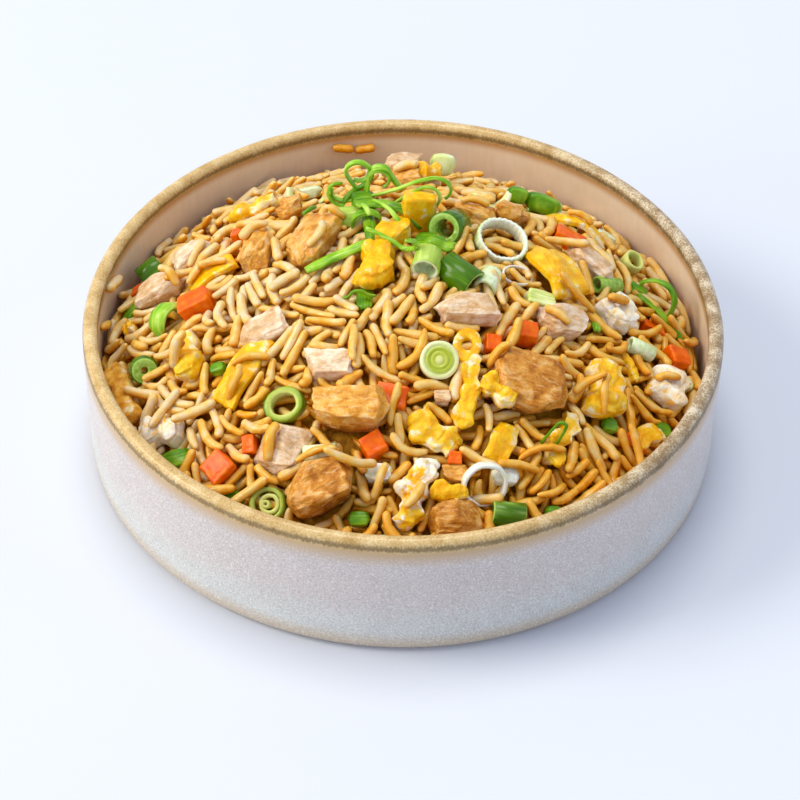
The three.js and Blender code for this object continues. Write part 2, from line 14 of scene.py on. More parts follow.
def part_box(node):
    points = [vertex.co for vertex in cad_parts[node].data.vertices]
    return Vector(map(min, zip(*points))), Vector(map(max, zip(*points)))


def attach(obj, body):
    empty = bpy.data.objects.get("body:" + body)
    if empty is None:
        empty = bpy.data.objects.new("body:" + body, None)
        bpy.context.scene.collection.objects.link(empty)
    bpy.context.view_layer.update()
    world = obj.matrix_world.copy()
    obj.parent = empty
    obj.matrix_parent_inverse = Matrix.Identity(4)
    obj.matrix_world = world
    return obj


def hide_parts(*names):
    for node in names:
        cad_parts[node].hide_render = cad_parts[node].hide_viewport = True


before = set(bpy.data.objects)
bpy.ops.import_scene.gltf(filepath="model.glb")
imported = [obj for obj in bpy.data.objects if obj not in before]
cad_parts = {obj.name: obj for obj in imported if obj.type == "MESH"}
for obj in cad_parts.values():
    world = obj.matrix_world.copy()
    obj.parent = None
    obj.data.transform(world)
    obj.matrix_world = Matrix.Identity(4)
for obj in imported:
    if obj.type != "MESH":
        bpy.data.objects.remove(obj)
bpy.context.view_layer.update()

MM = 0.001

# ---------------- driving dimensions (mm)

RIM_RADIUS = 100
BOWL_HEIGHT = 47
FOOT_RADIUS = 95
BASE_ROUND = 4
WALL = 4.6
FLOOR = 5
INNER_CORNER = 12
LIP_DEPTH = 4  # the rounded lip ends this far below the rim
TAPER = 0.9  # how much narrower the outside is above its foot than at the rim
WELL_TAPER = 0.6  # how much narrower the well is at its corner than below the lip
WELL_RADIUS = RIM_RADIUS - WALL

HEAP_RADIUS = 94
HEAP_EDGE = 28
HEAP_RISE = 38
HEAP_LEAN = 0.1  # the mound's high point lies towards the back
CORE_DEPTH = 6.2  # the scene's own core lies this far under the mound's outline

GRAIN_LENGTH = 13.6
GRAIN_RADIUS = 1.58

RICE_SEED = 11
CELL = 0.5  # size of a cell of the height field that the grains settle on
REACH = 100  # the height field runs this far each way from the middle


# ---------------- the mound

def heap_height(x, y):
    share = (x * x + y * y) / HEAP_RADIUS**2
    return HEAP_EDGE + HEAP_RISE * (1 - share) * (1 + HEAP_LEAN * y / HEAP_RADIUS)


def heap_normal(x, y):
    dx = (heap_height(x + 1, y) - heap_height(x - 1, y)) / 2
    dy = (heap_height(x, y + 1) - heap_height(x, y - 1)) / 2
    return Vector((-dx, -dy, 1)).normalized()


def seat(at, lift=0, turn=0, lean=0, side=0):
    """Where a piece lies: turned about the slope's normal, then leaned towards the
    front (-Y) and to the right (+X). lift is its centre's height above the mound."""
    x, y = at
    slope = Vector((0, 0, 1)).rotation_difference(heap_normal(x, y))
    spin = Quaternion((0, 0, 1), math.radians(turn))
    tip = Quaternion((0, 1, 0), math.radians(side)) @ Quaternion((1, 0, 0), math.radians(lean))
    place = Vector((x, y, heap_height(x, y) + lift))
    return Matrix.Translation(place) @ (tip @ slope @ spin).to_matrix().to_4x4()


# ---------------- uneven surfaces

def wave(d, seed):
    """A smooth value between -1 and 1 for each direction, different for each seed."""
    broad = np.sin(2.3 * d[:, 0] + 1.7 * seed) * np.cos(1.9 * d[:, 1] - 2.3 * seed)
    cross = np.sin(3.1 * d[:, 2] + 2.9 * d[:, 1] + 0.7 * seed)
    return 0.5 * broad + 0.5 * cross


def lattice(corner, seed):
    """A fixed value from -1 to 1 for each whole-numbered point."""
    mixed = corner[:, 0] * 374761393 + corner[:, 1] * 668265263 + corner[:, 2] * 974711057
    mixed = (mixed + seed * 127412617) & 0xFFFFFFFF
    mixed = ((mixed ^ (mixed >> 13)) * 1274126177) & 0xFFFFFFFF
    return ((mixed ^ (mixed >> 16)) & 0xFFFF) / 32767.5 - 1


def noise(points, seed=0):
    """Smooth value noise from -1 to 1, one bump for each unit of length."""
    cell = np.floor(points).astype(np.int64)
    t = points - cell
    t = t * t * (3 - 2 * t)
    total = np.zeros(len(points))
    for corner in product((0, 1), repeat=3):
        weight = np.prod(np.where(corner, t, 1 - t), axis=1)
        total += weight * lattice(cell + np.array(corner), seed)
    return total


def crags(points, seed, octaves=3):
    """Noise with finer and finer bumps added."""
    total = np.zeros(len(points))
    for octave in range(octaves):
        total += noise(points * 2**octave, seed + 7 * octave) / 2**octave
    return total


def flat(x, y):
    """Points on the plane of the table, for noise that varies across it."""
    return np.stack([x, y, 0 * x], axis=1)


def unit(vectors):
    return vectors / np.maximum(np.linalg.norm(vectors, axis=1, keepdims=True), 1e-9)


def outward(points):
    """For each point, the direction away from the Z axis."""
    return unit(points * (1, 1, 0))


# ---------------- raw meshes

def box_grid(across, deep, high):
    """The surface of a cube from -1 to 1 as one closed grid of quads."""
    counts = (across, deep, high)
    index = {}
    points = []
    quads = []

    def corner(key):
        if key not in index:
            index[key] = len(points)
            points.append([2 * k / n - 1 for k, n in zip(key, counts)])
        return index[key]

    for axis in range(3):
        u, v = (axis + 1) % 3, (axis + 2) % 3
        for end, i, j in product((0, counts[axis]), range(counts[u]), range(counts[v])):
            quad = []
            for di, dj in ((0, 0), (1, 0), (1, 1), (0, 1)):
                key = [0, 0, 0]
                key[axis], key[u], key[v] = end, i + di, j + dj
                quad.append(corner(tuple(key)))
            quads.append(quad if end else quad[::-1])
    return np.array(points), quads


def lathe(profile, sides, closed=False):
    """Turns (radius, height) points about Z. closed joins the last point to the first."""
    rings = []
    points = []
    for radius, height in profile:
        start = len(points)
        around = 1 if radius < 1e-6 else sides
        for k in range(around):
            angle = 2 * math.pi * k / sides
            points.append((radius * math.cos(angle), radius * math.sin(angle), height))
        rings.append([start + k for k in range(around)])
    faces = []
    for low, high in zip(rings, rings[1:] + rings[:closed]):
        for k in range(sides):
            a, b = low[k % len(low)], low[(k + 1) % len(low)]
            c, d = high[(k + 1) % len(high)], high[k % len(high)]
            face = list(dict.fromkeys((a, b, c, d)))
            if len(face) > 2:
                faces.append(face)
    return np.array(points, float), faces


def facing_out(points, faces):
    """The faces, all turned round if they face inwards."""
    volume = 0
    for face in faces:
        a = points[face[0]]
        for i in range(1, len(face) - 1):
            volume += np.dot(a, np.cross(points[face[i]], points[face[i + 1]]))
    return faces if volume > 0 else [face[::-1] for face in faces]


def joined(shapes):
    """Several (points, faces) as one."""
    points = []
    faces = []
    start = 0
    for shape_points, shape_faces in shapes:
        points.append(shape_points)
        faces += [[start + k for k in face] for face in shape_faces]
        start += len(shape_points)
    return np.vstack(points), faces


def moved(points, matrix):
    rows = np.array(matrix)
    return points @ rows[:3, :3].T + rows[:3, 3]


def add_object(name, points, faces, material):
    mesh = bpy.data.meshes.new(name)
    mesh.from_pydata(points.tolist(), [], faces)
    mesh.materials.append(material)
    thing = bpy.data.objects.new(name, mesh)
    bpy.context.scene.collection.objects.link(thing)
    return thing


def add_piece(name, shape, material, node, pose=None):
    """A mesh piece of the object that stands for a node of the frame."""
    points, faces = shape
    piece = add_object(name, points * MM, faces, material)
    piece.data.shade_smooth()
    if pose is not None:
        place = pose.copy()
        place.translation *= MM
        piece.matrix_world = place
    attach(piece, "root")
    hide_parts(node)
    return piece


# ---------------- kinds of piece

def lump(size, square=0.4, rough=0.12, seed=1, cells=14):
    """An uneven block or ball: square 0 is an egg shape, 1 a box; rough sets the dents."""
    cube, quads = box_grid(cells, cells, cells)
    d = unit(cube)
    points = (square * cube + (1 - square) * d) * (1 + rough * wave(d, seed))[:, None]
    return points * np.array(size) / 2, quads


def chopped(size, seed=1):
    """Chicken: a lump with knife cuts, torn hollows and fibres along X."""
    knife_cuts, flatness, torn_depth = 6, 0.86, 0.9
    points, quads = lump(size, square=0.55, rough=0.18, seed=seed, cells=36)
    draw = np.random.default_rng(100 + seed)
    for _ in range(knife_cuts):
        normal = unit(draw.normal(size=(1, 3)))[0]
        far = (points @ normal).max()
        over = np.maximum(points @ normal - draw.uniform(0.58, 0.88) * far, 0)
        points = points - flatness * over[:, None] * normal
    d = unit(points / np.array(size))
    fibres = 0.36 * noise(points * (0.22, 0.7, 0.7), seed) + 0.16 * noise(points * (0.5, 1.3, 1.3), seed)
    torn = np.minimum(crags(points * (0.1, 0.22, 0.22), seed + 3), 0)
    return points + d * (fibres + torn_depth * torn)[:, None], quads


def diced(size, seed=1):
    """Carrot: a cube with rounded edges and slightly hollow faces."""
    cube, quads = box_grid(16, 16, 16)
    edge = 0.84
    inner = np.clip(cube, -edge, edge)
    points = inner + (1 - edge) * unit(cube - inner + 1e-9 * cube)
    points = np.where(np.abs(cube).max(axis=1, keepdims=True) > edge, points, cube)
    d = unit(cube)
    points = points * (1 + 0.09 * wave(d, seed))[:, None] * np.array(size) / 2
    return points + d * (0.22 * crags(points * 0.4, seed))[:, None], quads


def curd(size, lobes=2, seed=1):
    """Fluffy egg: a lump that swells into lobes along X, with soft creases between folds."""
    length, width, height = (s / 2 for s in size)
    cells, rough, zigzag = 20, 0.14, 0.22
    cube, quads = box_grid(cells * lobes, cells, cells)
    along = cube[:, 0]
    swell = 0.86 - 0.15 * np.cos(np.pi * lobes * (along + 1)) * (1 - along**2)
    d = unit(cube)
    v = (0.35 * cube + 0.65 * d) * (1 + rough * wave(d, seed))[:, None]
    x = (0.5 * v[:, 0] + 0.5 * along) * length
    sway = zigzag * width * np.sin(0.5 * np.pi * lobes * along + seed)
    points = np.stack([x, v[:, 1] * width * swell + sway, v[:, 2] * height * swell], axis=1)
    return points + d * ruffled(points, seed)[:, None], quads


def ruffled(points, seed):
    """How far egg stands out, in mm: soft bumps with narrow creases between them."""
    crease = (1 - np.abs(noise(points * 0.2, seed))) ** 6
    broad = 1.3 * noise(points * 0.17, seed + 9) + 0.5 * noise(points * 0.4, seed + 2)
    return broad + 0.14 * crags(points * 0.9, seed + 4, 2) - 0.8 * crease


def fold(size, thick=3, arch=0.6, seed=1):
    """A sheet of omelette, arched along its length and rippled across it."""
    length, width, height = size
    ripple = 0.5
    cube, quads = box_grid(40, 26, 4)
    along, across, off = cube.T
    middle = (height - thick) * (0.5 - arch * along**2) + ripple * np.sin(2.6 * across + seed + along)
    edge = 1 - 0.16 * along**2 + 0.06 * np.sin(5 * along + seed)
    half = thick / 2 * (1 - 0.25 * across**2) * off
    corner = np.maximum(np.abs(along), np.abs(across)) ** 6
    points = np.stack([along * length / 2, across * width / 2 * edge, middle], axis=1)
    ragged = 1 + 0.05 * noise(points * 0.5, seed)
    points[:, :2] *= ragged[:, None]
    points[:, 2] += half * (1 - 0.3 * corner) + 0.45 * crags(points * 0.24, seed, 2)
    return points, quads


def rounded_wall(inner, outer, half, edge=0.3):
    """A closed profile of a ring's wall, with its four corners eased."""
    outside = [(outer - edge, -half), (outer, -half + edge), (outer, 0), (outer, half - edge)]
    inside = [(inner + edge, half), (inner, half - edge), (inner, 0), (inner, -half + edge)]
    return [(inner + edge, -half), *outside, (outer - edge, half), *inside]


def ring(radius, wall, height, squash=1, sides=56, seed=1, pleats=0):
    """A thin slice of scallion or bean: an open ring about Z, out of round by squash."""
    profile = rounded_wall(max(radius - wall, 0.4), radius, height / 2)
    points, faces = lathe(profile, sides, closed=True)
    pleat = 0.13 * np.cos(pleats * np.arctan2(points[:, 1], points[:, 0])) * (pleats > 0)
    uneven = 0.25 * noise(points * 0.3, seed) + 0.1 * noise(points * 1.1, seed) + pleat
    return (points + outward(points) * uneven[:, None]) * (1, squash, 1), faces


def nested(radius, wall, height):
    """A slice of scallion whose layers have slipped apart: rings inside each other."""
    rings = []
    for share, tilt in ((1, 0), (0.62, 0.12), (0.26, -0.1)):
        points, faces = ring(share * radius, wall, height * (0.7 + 0.3 * share), squash=0.94)
        points[:, 2] += tilt * points[:, 0]
        rings.append((points + (tilt * radius, 0, 0), faces))
    return joined(rings)


def tube(radius, wall, length):
    """A cut length of scallion or green bean: an open tube along X."""
    points, faces = ring(radius, wall, length, sides=48)
    return np.stack([points[:, 2], points[:, 1], -points[:, 0]], axis=1), faces


def disc(radius, height):
    """A slice of scallion stem: nested layers, each a low ridge on the cut face."""
    half, edge, groove, ridge = height / 2, 0.4, 0.35, 0.05
    profile = [(0, -half), (radius - edge, -half), (radius, -half + edge), (radius, half - edge)]
    profile.append((radius - edge, half))
    for share in (0.74, 0.5, 0.27):
        for reach, depth in ((ridge, 0), (0, groove), (-ridge, 0)):
            profile.append(((share + reach) * radius, half - depth))
    profile.append((0, half))
    points, faces = lathe(profile, 56)
    return points + outward(points) * (0.2 * noise(points * 0.3, 5))[:, None], faces


def ribbon(bends, width, thick=0.9, head=0, drift=0):
    """A strip along a path in the XZ plane. bends lists its stretches, each as a length
    and the angle that it turns through; head is the first heading, drift moves it along Y."""
    cup = 0.16  # how far the middle stands above the edges, as a share of the width
    x = z = 0
    heading = math.radians(head)
    stations = [(x, z, heading)]
    for length, angle in bends:
        steps = max(6, math.ceil(abs(angle) / 9))
        for _ in range(steps):
            middle = heading + math.radians(angle) / steps / 2
            heading += math.radians(angle) / steps
            x += length / steps * math.cos(middle)
            z += length / steps * math.sin(middle)
            stations.append((x, z, heading))
    count = len(stations) - 1
    cube, quads = box_grid(count, 6, 2)
    index = np.rint((cube[:, 0] + 1) / 2 * count).astype(int)
    px, pz, turn = np.array(stations)[index].T
    share = index / count
    across = cube[:, 1]
    taper = np.minimum(1, 0.55 + 3 * np.minimum(share, 1 - share))
    off = cube[:, 2] * thick / 2 * (1 - 0.4 * across**2) - cup * width * (across**2 - 0.4)
    off = off + 0.15 * noise(np.stack([share * 9, across, share * 0], axis=1), 1)
    y = across * width / 2 * taper + drift * share
    return np.stack([px - off * np.sin(turn), y, pz + off * np.cos(turn)], axis=1), quads


# ---------------- materials

def linear(code):
    """A colour written as six hexadecimal digits, as Blender's linear values."""
    channels = [int(code[i : i + 2], 16) / 255 for i in (0, 2, 4)]
    return (*[c / 12.92 if c < 0.04045 else ((c + 0.055) / 1.055) ** 2.4 for c in channels], 1)


class Finish:
    """A material with a few helpers for its node tree."""

    def __init__(self, name, roughness, coat=(0, 0.15), bleed=0, bleed_colour=(1, 0.5, 0.2)):
        """coat is its weight and roughness; bleed is how much light passes under the surface."""
        self.material = bpy.data.materials.new(name)
        self.material.use_nodes = True
        self.tree = self.material.node_tree
        self.shader = self.tree.nodes["Principled BSDF"]
        self.fill(self.shader, {"Roughness": roughness, "Specular IOR Level": 0.2})
        self.fill(self.shader, {"Coat Weight": coat[0], "Coat Roughness": coat[1]})
        self.fill(self.shader, {"Subsurface Weight": bleed, "Subsurface Scale": 2 * MM})
        self.fill(self.shader, {"Subsurface Radius": bleed_colour})
        where = self.node("TexCoord").outputs["Object"]
        # The object's own coordinates in mm.
        self.place = self.node("VectorMath", {0: where, "Scale": 1 / MM}, operation="SCALE").outputs[0]

    def fill(self, node, values):
        """Gives sockets, by name or number, another node's output, a number or a colour's code."""
        for key, value in values.items():
            if isinstance(value, bpy.types.NodeSocket):
                self.tree.links.new(value, node.inputs[key])
            else:
                node.inputs[key].default_value = linear(value) if isinstance(value, str) else value

    def node(self, kind, values=None, **settings):
        node = self.tree.nodes.new("ShaderNode" + kind)
        for setting, value in settings.items():
            setattr(node, setting, value)
        self.fill(node, values or {})
        return node

    def stretched(self, by):
        return self.node("VectorMath", {0: self.place, 1: by}, operation="MULTIPLY").outputs[0]

    def noise(self, size, detail=2, stretch=(1, 1, 1), distort=0):
        """Noise whose bumps are about size mm across."""
        node = self.node("TexNoise", {"Vector": self.stretched(stretch), "Scale": 1 / size})
        self.fill(node, {"Detail": detail, "Distortion": distort})
        return node.outputs["Fac"]

    def axis(self, name):
        return self.node("SeparateXYZ", {0: self.place}).outputs[name]

    def radius(self, axes):
        """Distance from a local axis, in mm."""
        keep = tuple(float(a in axes) for a in "XYZ")
        return self.node("VectorMath", {0: self.stretched(keep)}, operation="LENGTH").outputs["Value"]

    def math(self, operation, a, b=0.0, clamp=False):
        return self.node("Math", {0: a, 1: b}, operation=operation, use_clamp=clamp).outputs[0]

    def times(self, a, b):
        return self.math("MULTIPLY", a, b)

    def plus(self, a, b):
        return self.math("ADD", a, b)

    def less(self, a, b):
        return self.math("SUBTRACT", a, b)

    def blend(self, share, a, b):
        """Share of a and the rest of b."""
        return self.plus(self.times(a, share), self.times(b, 1 - share))

    def between(self, value, low, high):
        """0 at low, 1 at high, eased between them."""
        values = {"Value": value, "From Min": low, "From Max": high}
        return self.node("MapRange", values, interpolation_type="SMOOTHSTEP").outputs["Result"]

    def mix(self, share, first, second):
        """The node's sockets for colours are inputs 6 and 7 and output 2."""
        return self.node("Mix", {0: share, 6: first, 7: second}, data_type="RGBA").outputs[2]

    def over(self, body, colour, mask, most):
        """body with colour laid over it where the mask is 1, and most of it at that."""
        return self.mix(self.times(mask, most), body, colour)

    def ramp(self, value, stops):
        """stops lists (place from 0 to 1, colour)."""
        stops = list(stops)
        node = self.node("ValToRGB", {"Fac": value})
        elements = node.color_ramp.elements
        while len(elements) < len(stops):
            elements.new(0.5)
        for element, (place, colour) in zip(elements, stops):
            element.position = place
            element.color = linear(colour)
        return node.outputs["Color"]

    def tint(self, channel):
        """One channel of the mesh's own colour attribute."""
        stored = self.node("Attribute", attribute_name="tint").outputs["Color"]
        return self.node("SeparateColor", {0: stored}).outputs[channel]

    def finished(self, colour, height, depth, strength=1.0):
        """The material with that colour, and relief depth mm deep where height goes from 0 to 1."""
        values = {"Strength": strength, "Distance": depth * MM, "Height": height}
        normal = self.node("Bump", values).outputs["Normal"]
        self.fill(self.shader, {"Base Color": colour, "Normal": normal})
        return self.material


def glaze_finish():
    """Speckled grey stoneware: a frosted skirt, a cream liner and a bare brown lip, with painted shade on
    its right side.
    """
    # Heights in mm between which one colour passes into the next.
    frost_line, foot_line, warm_line, liner_line = (32, 16), (9, 3), (36, 43.5), (39.5, 43.5)
    lip_line, edge_low, edge_high = (43.6, 45.2), (44.4, 45.4), (47.2, 46.0)
    look = Finish("stoneware_glaze", roughness=0.38, coat=(0.3, 0.14))
    height = look.axis("Z")
    mottle = look.noise(11, 3)
    grainy = look.noise(0.55, 2)
    frost = look.mix(mottle, "C8C7C0", "DCDBD6")
    ragged = look.plus(height, look.times(look.noise(2.2, 5, stretch=(1, 1, 0.5)), 14.0))
    body = look.mix(look.between(ragged, *frost_line), look.mix(mottle, "CABEB8", "D8CDC7"), frost)
    body = look.mix(look.between(height, *foot_line), body, "CDBBA2")
    body = look.over(body, "9C918B", look.between(grainy, 0.52, 0.36), 0.34)
    body = look.over(body, "F0EEEA", look.between(grainy, 0.56, 0.68), 0.5)
    body = look.over(body, "7A6E68", look.between(look.noise(0.8, 1), 0.68, 0.76), 0.4)
    body = look.mix(look.between(height, *warm_line), body, "C6A67C")
    liner = look.mix(mottle, "F0DCC2", "F8EAD8")
    liner = look.over(liner, "D4B496", look.noise(1.6, 3, stretch=(1, 1, 0.25)), 0.35)
    liner = look.mix(look.between(height, *liner_line), liner, "C48F4E")
    inside = look.between(look.radius("XY"), WELL_RADIUS + 2.6, WELL_RADIUS + 1.2)
    body = look.mix(inside, body, liner)
    streak = look.blend(0.5, look.noise(5, 3), grainy)
    lip = look.ramp(streak, [(0.34, "B48E52"), (0.5, "CFAE74"), (0.64, "E2C896")])
    # Painted shade: the lip turns darker brown-grey towards the right side (+X), away from the key lamp.
    right_lip_shade = look.ramp(streak, [(0.4, "7C6650"), (0.5, "A08C74"), (0.6, "D8CCB8")])
    lip = look.over(lip, right_lip_shade, look.between(look.axis("X"), 20, 90), 0.75)
    frayed = look.plus(height, look.times(look.noise(0.7, 3, stretch=(1, 1, 0.4)), 2.4))
    edge = look.times(look.between(frayed, *edge_low), look.between(frayed, *edge_high))
    body = look.mix(look.between(frayed, *lip_line), body, lip)
    body = look.over(body, "66502F", edge, 0.7)
    return look.finished(body, look.plus(look.times(grainy, 0.5), mottle), 0.1, 0.5)


def core_finish():
    # Painted shade: the core's dark golden-brown stands for the shade in the gaps between grains.
    look = Finish("rice_gap_shade", roughness=0.6)
    colour = look.ramp(look.noise(2.4, 3), [(0.3, "9C6200"), (0.6, "C88A06"), (0.8, "DCA41C")])
    return look.finished(colour, look.noise(2.2, 2, stretch=(1, 0.4, 1)), 1.2)


def rice_finish(name, sauced):
    """Cream grains stained golden in patches, with painted shade in darker golden tones on each grain's
    underside, on grains deep in the heap and on grains at the right and front.
    """
    look = Finish(name, roughness=0.36, coat=(0.3, 0.04), bleed=0.5, bleed_colour=(1, 0.62, 0.14))
    # Painted shade: undersides of grains and grains deep in the heap take the darker golden stops.
    underside_shade = look.times(look.less(1.0, look.tint("Blue")), 0.6)
    patch = look.times(look.less(look.noise(3.4, 3), 0.5), 0.9)
    grain = look.times(look.tint("Red"), 0.36)
    tone = look.math("ADD", look.plus(underside_shade, patch), look.plus(grain, sauced), clamp=True)
    tip = look.between(look.math("ABSOLUTE", look.less(look.tint("Green"), 0.5)), 0.36, 0.5)
    body = look.over(look.ramp(tone, RICE_STOPS), "CE9444", tip, 0.14)
    return look.finished(body, look.noise(1.0, 2), 0.16)


def egg_finish(name, yolk, white, share, browned=0.22):
    """Egg mottled from yolk to white; share is how much of the piece is white."""
    look = Finish(name, roughness=0.34, coat=(0.15, 0.08), bleed=0.25, bleed_colour=(1, 0.75, 0.2))
    blobs = look.noise(2.4, 3, distort=0.4)
    mottle = look.blend(0.5, look.noise(7, 2), blobs)
    patch = look.between(mottle, 0.58 - share * 0.24, 0.68 - share * 0.24)
    body = look.ramp(look.noise(3.2, 3), zip((0.35, 0.52, 0.68), yolk))
    pale = look.ramp(look.noise(1.8, 3), zip((0.38, 0.58), white))
    fried = look.between(look.noise(2.0, 4), 0.6, 0.72)
    body = look.over(look.mix(patch, body, pale), "E29C1C", fried, browned)
    return look.finished(body, look.plus(blobs, look.times(look.noise(0.8, 3), 0.4)), 0.6)


def chicken_finish(name, tones, low):
    """Fried chicken: broad golden tones under fine pale fibres; low is the colour of painted shade on its
    foot.
    """
    look = Finish(name, roughness=0.3, coat=(0.26, 0.1), bleed=0.2, bleed_colour=(1, 0.45, 0.2))
    fibre = look.noise(0.8, 3, stretch=(0.3, 1, 1), distort=0.5)
    broad = look.noise(4, 4, distort=0.5)
    body = look.ramp(look.blend(0.26, fibre, broad), zip((0.34, 0.46, 0.56, 0.68), tones))
    # Painted shade: the lower part of each piece fades to the low colour.
    foot = look.plus(look.axis("Z"), look.times(broad, 6.0))
    body = look.over(body, low, look.between(foot, 4.0, -2.5), 0.8)
    torn = look.between(look.noise(2.6, 4, stretch=(0.5, 1, 1), distort=1.2), 0.54, 0.62)
    body = look.over(body, tones[3], torn, 0.45)
    return look.finished(body, look.plus(fibre, look.noise(0.6, 2)), 0.32)


def carrot_finish():
    look = Finish("carrot_dice", roughness=0.3, coat=(0.08, 0.1), bleed=0.2, bleed_colour=(1, 0.35, 0.1))
    body = look.ramp(look.noise(3, 3), [(0.3, "E25400"), (0.55, "F06C00"), (0.78, "FA8C14")])
    return look.finished(body, look.noise(1.1, 2, stretch=(0.4, 1, 1)), 0.18)


def green_finish(name, skin, flesh, inner, wall, radius):
    """Green stem along X: skin outside, flesh across the cut and a pale lining."""
    look = Finish(name, roughness=0.26, coat=(0.2, 0.05), bleed=0.06, bleed_colour=(0.8, 1, 0.2))
    out = look.radius("YZ")
    stripe = look.noise(1.3, 2, stretch=(0.12, 1, 1))
    outer = look.ramp(stripe, zip((0.3, 0.6, 0.8), skin))
    lining = look.ramp(look.noise(1.6, 2), zip((0.35, 0.65), inner))
    cut = look.mix(look.between(out, radius - 0.75 * wall, radius - 0.2 * wall), lining, flesh)
    body = look.mix(look.between(out, radius - 0.3 * wall, radius - 0.1 * wall), cut, outer)
    return look.finished(body, stripe, 0.2)


def layered_finish(name, stops, radius):
    """A cut scallion: colours from the middle outwards."""
    look = Finish(name, roughness=0.32, coat=(0.3, 0.1), bleed=0.15, bleed_colour=(0.6, 1, 0.3))
    wobble = look.times(look.less(look.noise(2.5, 2), 0.5), 0.1)
    share = look.plus(look.math("DIVIDE", look.radius("XY"), radius), wobble)
    return look.finished(look.ramp(share, stops), look.noise(0.9, 2), 0.15)


def strip_finish(name, *tones):
    look = Finish(name, roughness=0.3, coat=(0.15, 0.1), bleed=0.1, bleed_colour=(0.8, 1, 0.2))
    vein = look.noise(0.9, 2, stretch=(0.15, 1.6, 0.15))
    body = look.ramp(look.blend(0.5, vein, look.noise(7, 2)), zip((0.35, 0.5, 0.66), tones))
    return look.finished(body, vein, 0.15)


# Tones from the darkest to the palest, except the rice's, which go from cream to browned.
# The rice's darker golden stops also stand for painted shade on grain undersides, deep in the heap and at
# the right and front.
RICE_STOPS = [(0.0, "E4CCA2"), (0.2, "E8C272"), (0.42, "E8AE3A"), (0.66, "DC9004"), (1.0, "AC6600")]
YOLK = ("F0A800", "F8C010", "FAD23C")
YOLK_DEEP = ("F2AA00", "FABC06", "FED026")
YOLK_FRIED = ("D48A1C", "ECAC38", "F8CC6C")
WHITE = ("F6D480", "F8E4BC")
WHITER = ("F4DCAC", "F6ECDC")
ONION = ("DDE6B4", "F2F3DC", "FFFEF4")
ONION_WHITE = ("F4F6E4", "FFFFFA")
FRIED = ("C0761A", "DC9830", "EAB254", "F2CC92")
ROASTED = ("A05A0C", "C27A1C", "DA983C", "EEC07E")
PALE_MEAT = ("C6945A", "DCB280", "EACAA4", "F4E0C8")
WHITE_MEAT = ("D8AE7C", "EACBA2", "F6E0C4", "FCEEDC")
BEAN = (("365E00", "4E7A02", "78A016"), "A9CB62", ("7CA428", "AECC62"))  # skin, flesh, lining
SCALLION = (("94B630", "BAD25A", "DEEA9C"), "E2EDBE", ("CFE29A", "EEF4D6"))
SLICE = [(0.0, "E4E69C"), (0.3, "C4CC4C"), (0.6, "A8B822"), (0.78, "D8DE8C"), (0.95, "E8EAB8")]
RING_PALE = [(0.84, "EEF2DE"), (0.94, "DFE9BE"), (1.0, "BCD586")]
RING_GREEN = [(0.55, "D2D478"), (0.82, "9CB030"), (0.98, "5A7E0C")]
RING_WHITE = [(0.8, "FBFAF0"), (1.0, "EDF0DC")]

FINISHES = {
    "egg": egg_finish("egg_yellow", YOLK, WHITE, 0.32),
    "egg_fried": egg_finish("egg_fried_golden", YOLK_FRIED, WHITE, 0.1, 0.6),
    "egg_deep": egg_finish("egg_deep_yellow", YOLK_DEEP, WHITE, 0.05),
    "egg_white": egg_finish("egg_white", YOLK, WHITER, 0.6),
    "egg_cream": egg_finish("egg_cream", YOLK, WHITER, 0.95, 0.1),
    # The last colour of each chicken finish is painted shade for the foot of its pieces.
    "browned": chicken_finish("chicken_fried", FRIED, "9A5410"),
    "roasted": chicken_finish("chicken_roasted", ROASTED, "7A3E0E"),
    "pale": chicken_finish("chicken_pale", PALE_MEAT, "A86A28"),
    "white_meat": chicken_finish("chicken_white", WHITE_MEAT, "C08A50"),
    "carrot": carrot_finish(),
    "bean": green_finish("bean_dark", *BEAN, wall=1.6, radius=5.2),
    "bean_small": green_finish("bean_dark_small", *BEAN, wall=1.5, radius=4.2),
    "onion_tube": green_finish("scallion_pale", *SCALLION, wall=1.2, radius=4.3),
    "strip": strip_finish("scallion_strip", "5C960E", "8CC024", "C8E464"),
    "strip_pale": strip_finish("scallion_strip_pale", "BCCC58", "DCE694", "F2F4CC"),
    "strip_dark": strip_finish("scallion_strip_dark", "3C7004", "62960C", "96BC26"),
    "layers": layered_finish("scallion_slice", SLICE, 5.9),
    "ring_pale": layered_finish("scallion_ring_pale", RING_PALE, 8.4),
    "ring_green": layered_finish("scallion_ring_green", RING_GREEN, 6.3),
    "onion": egg_finish("onion_white", ONION, ONION_WHITE, 0.6, 0),
    "ring_white": layered_finish("scallion_ring_white", RING_WHITE, 7),
}


# ---------------- the bowl

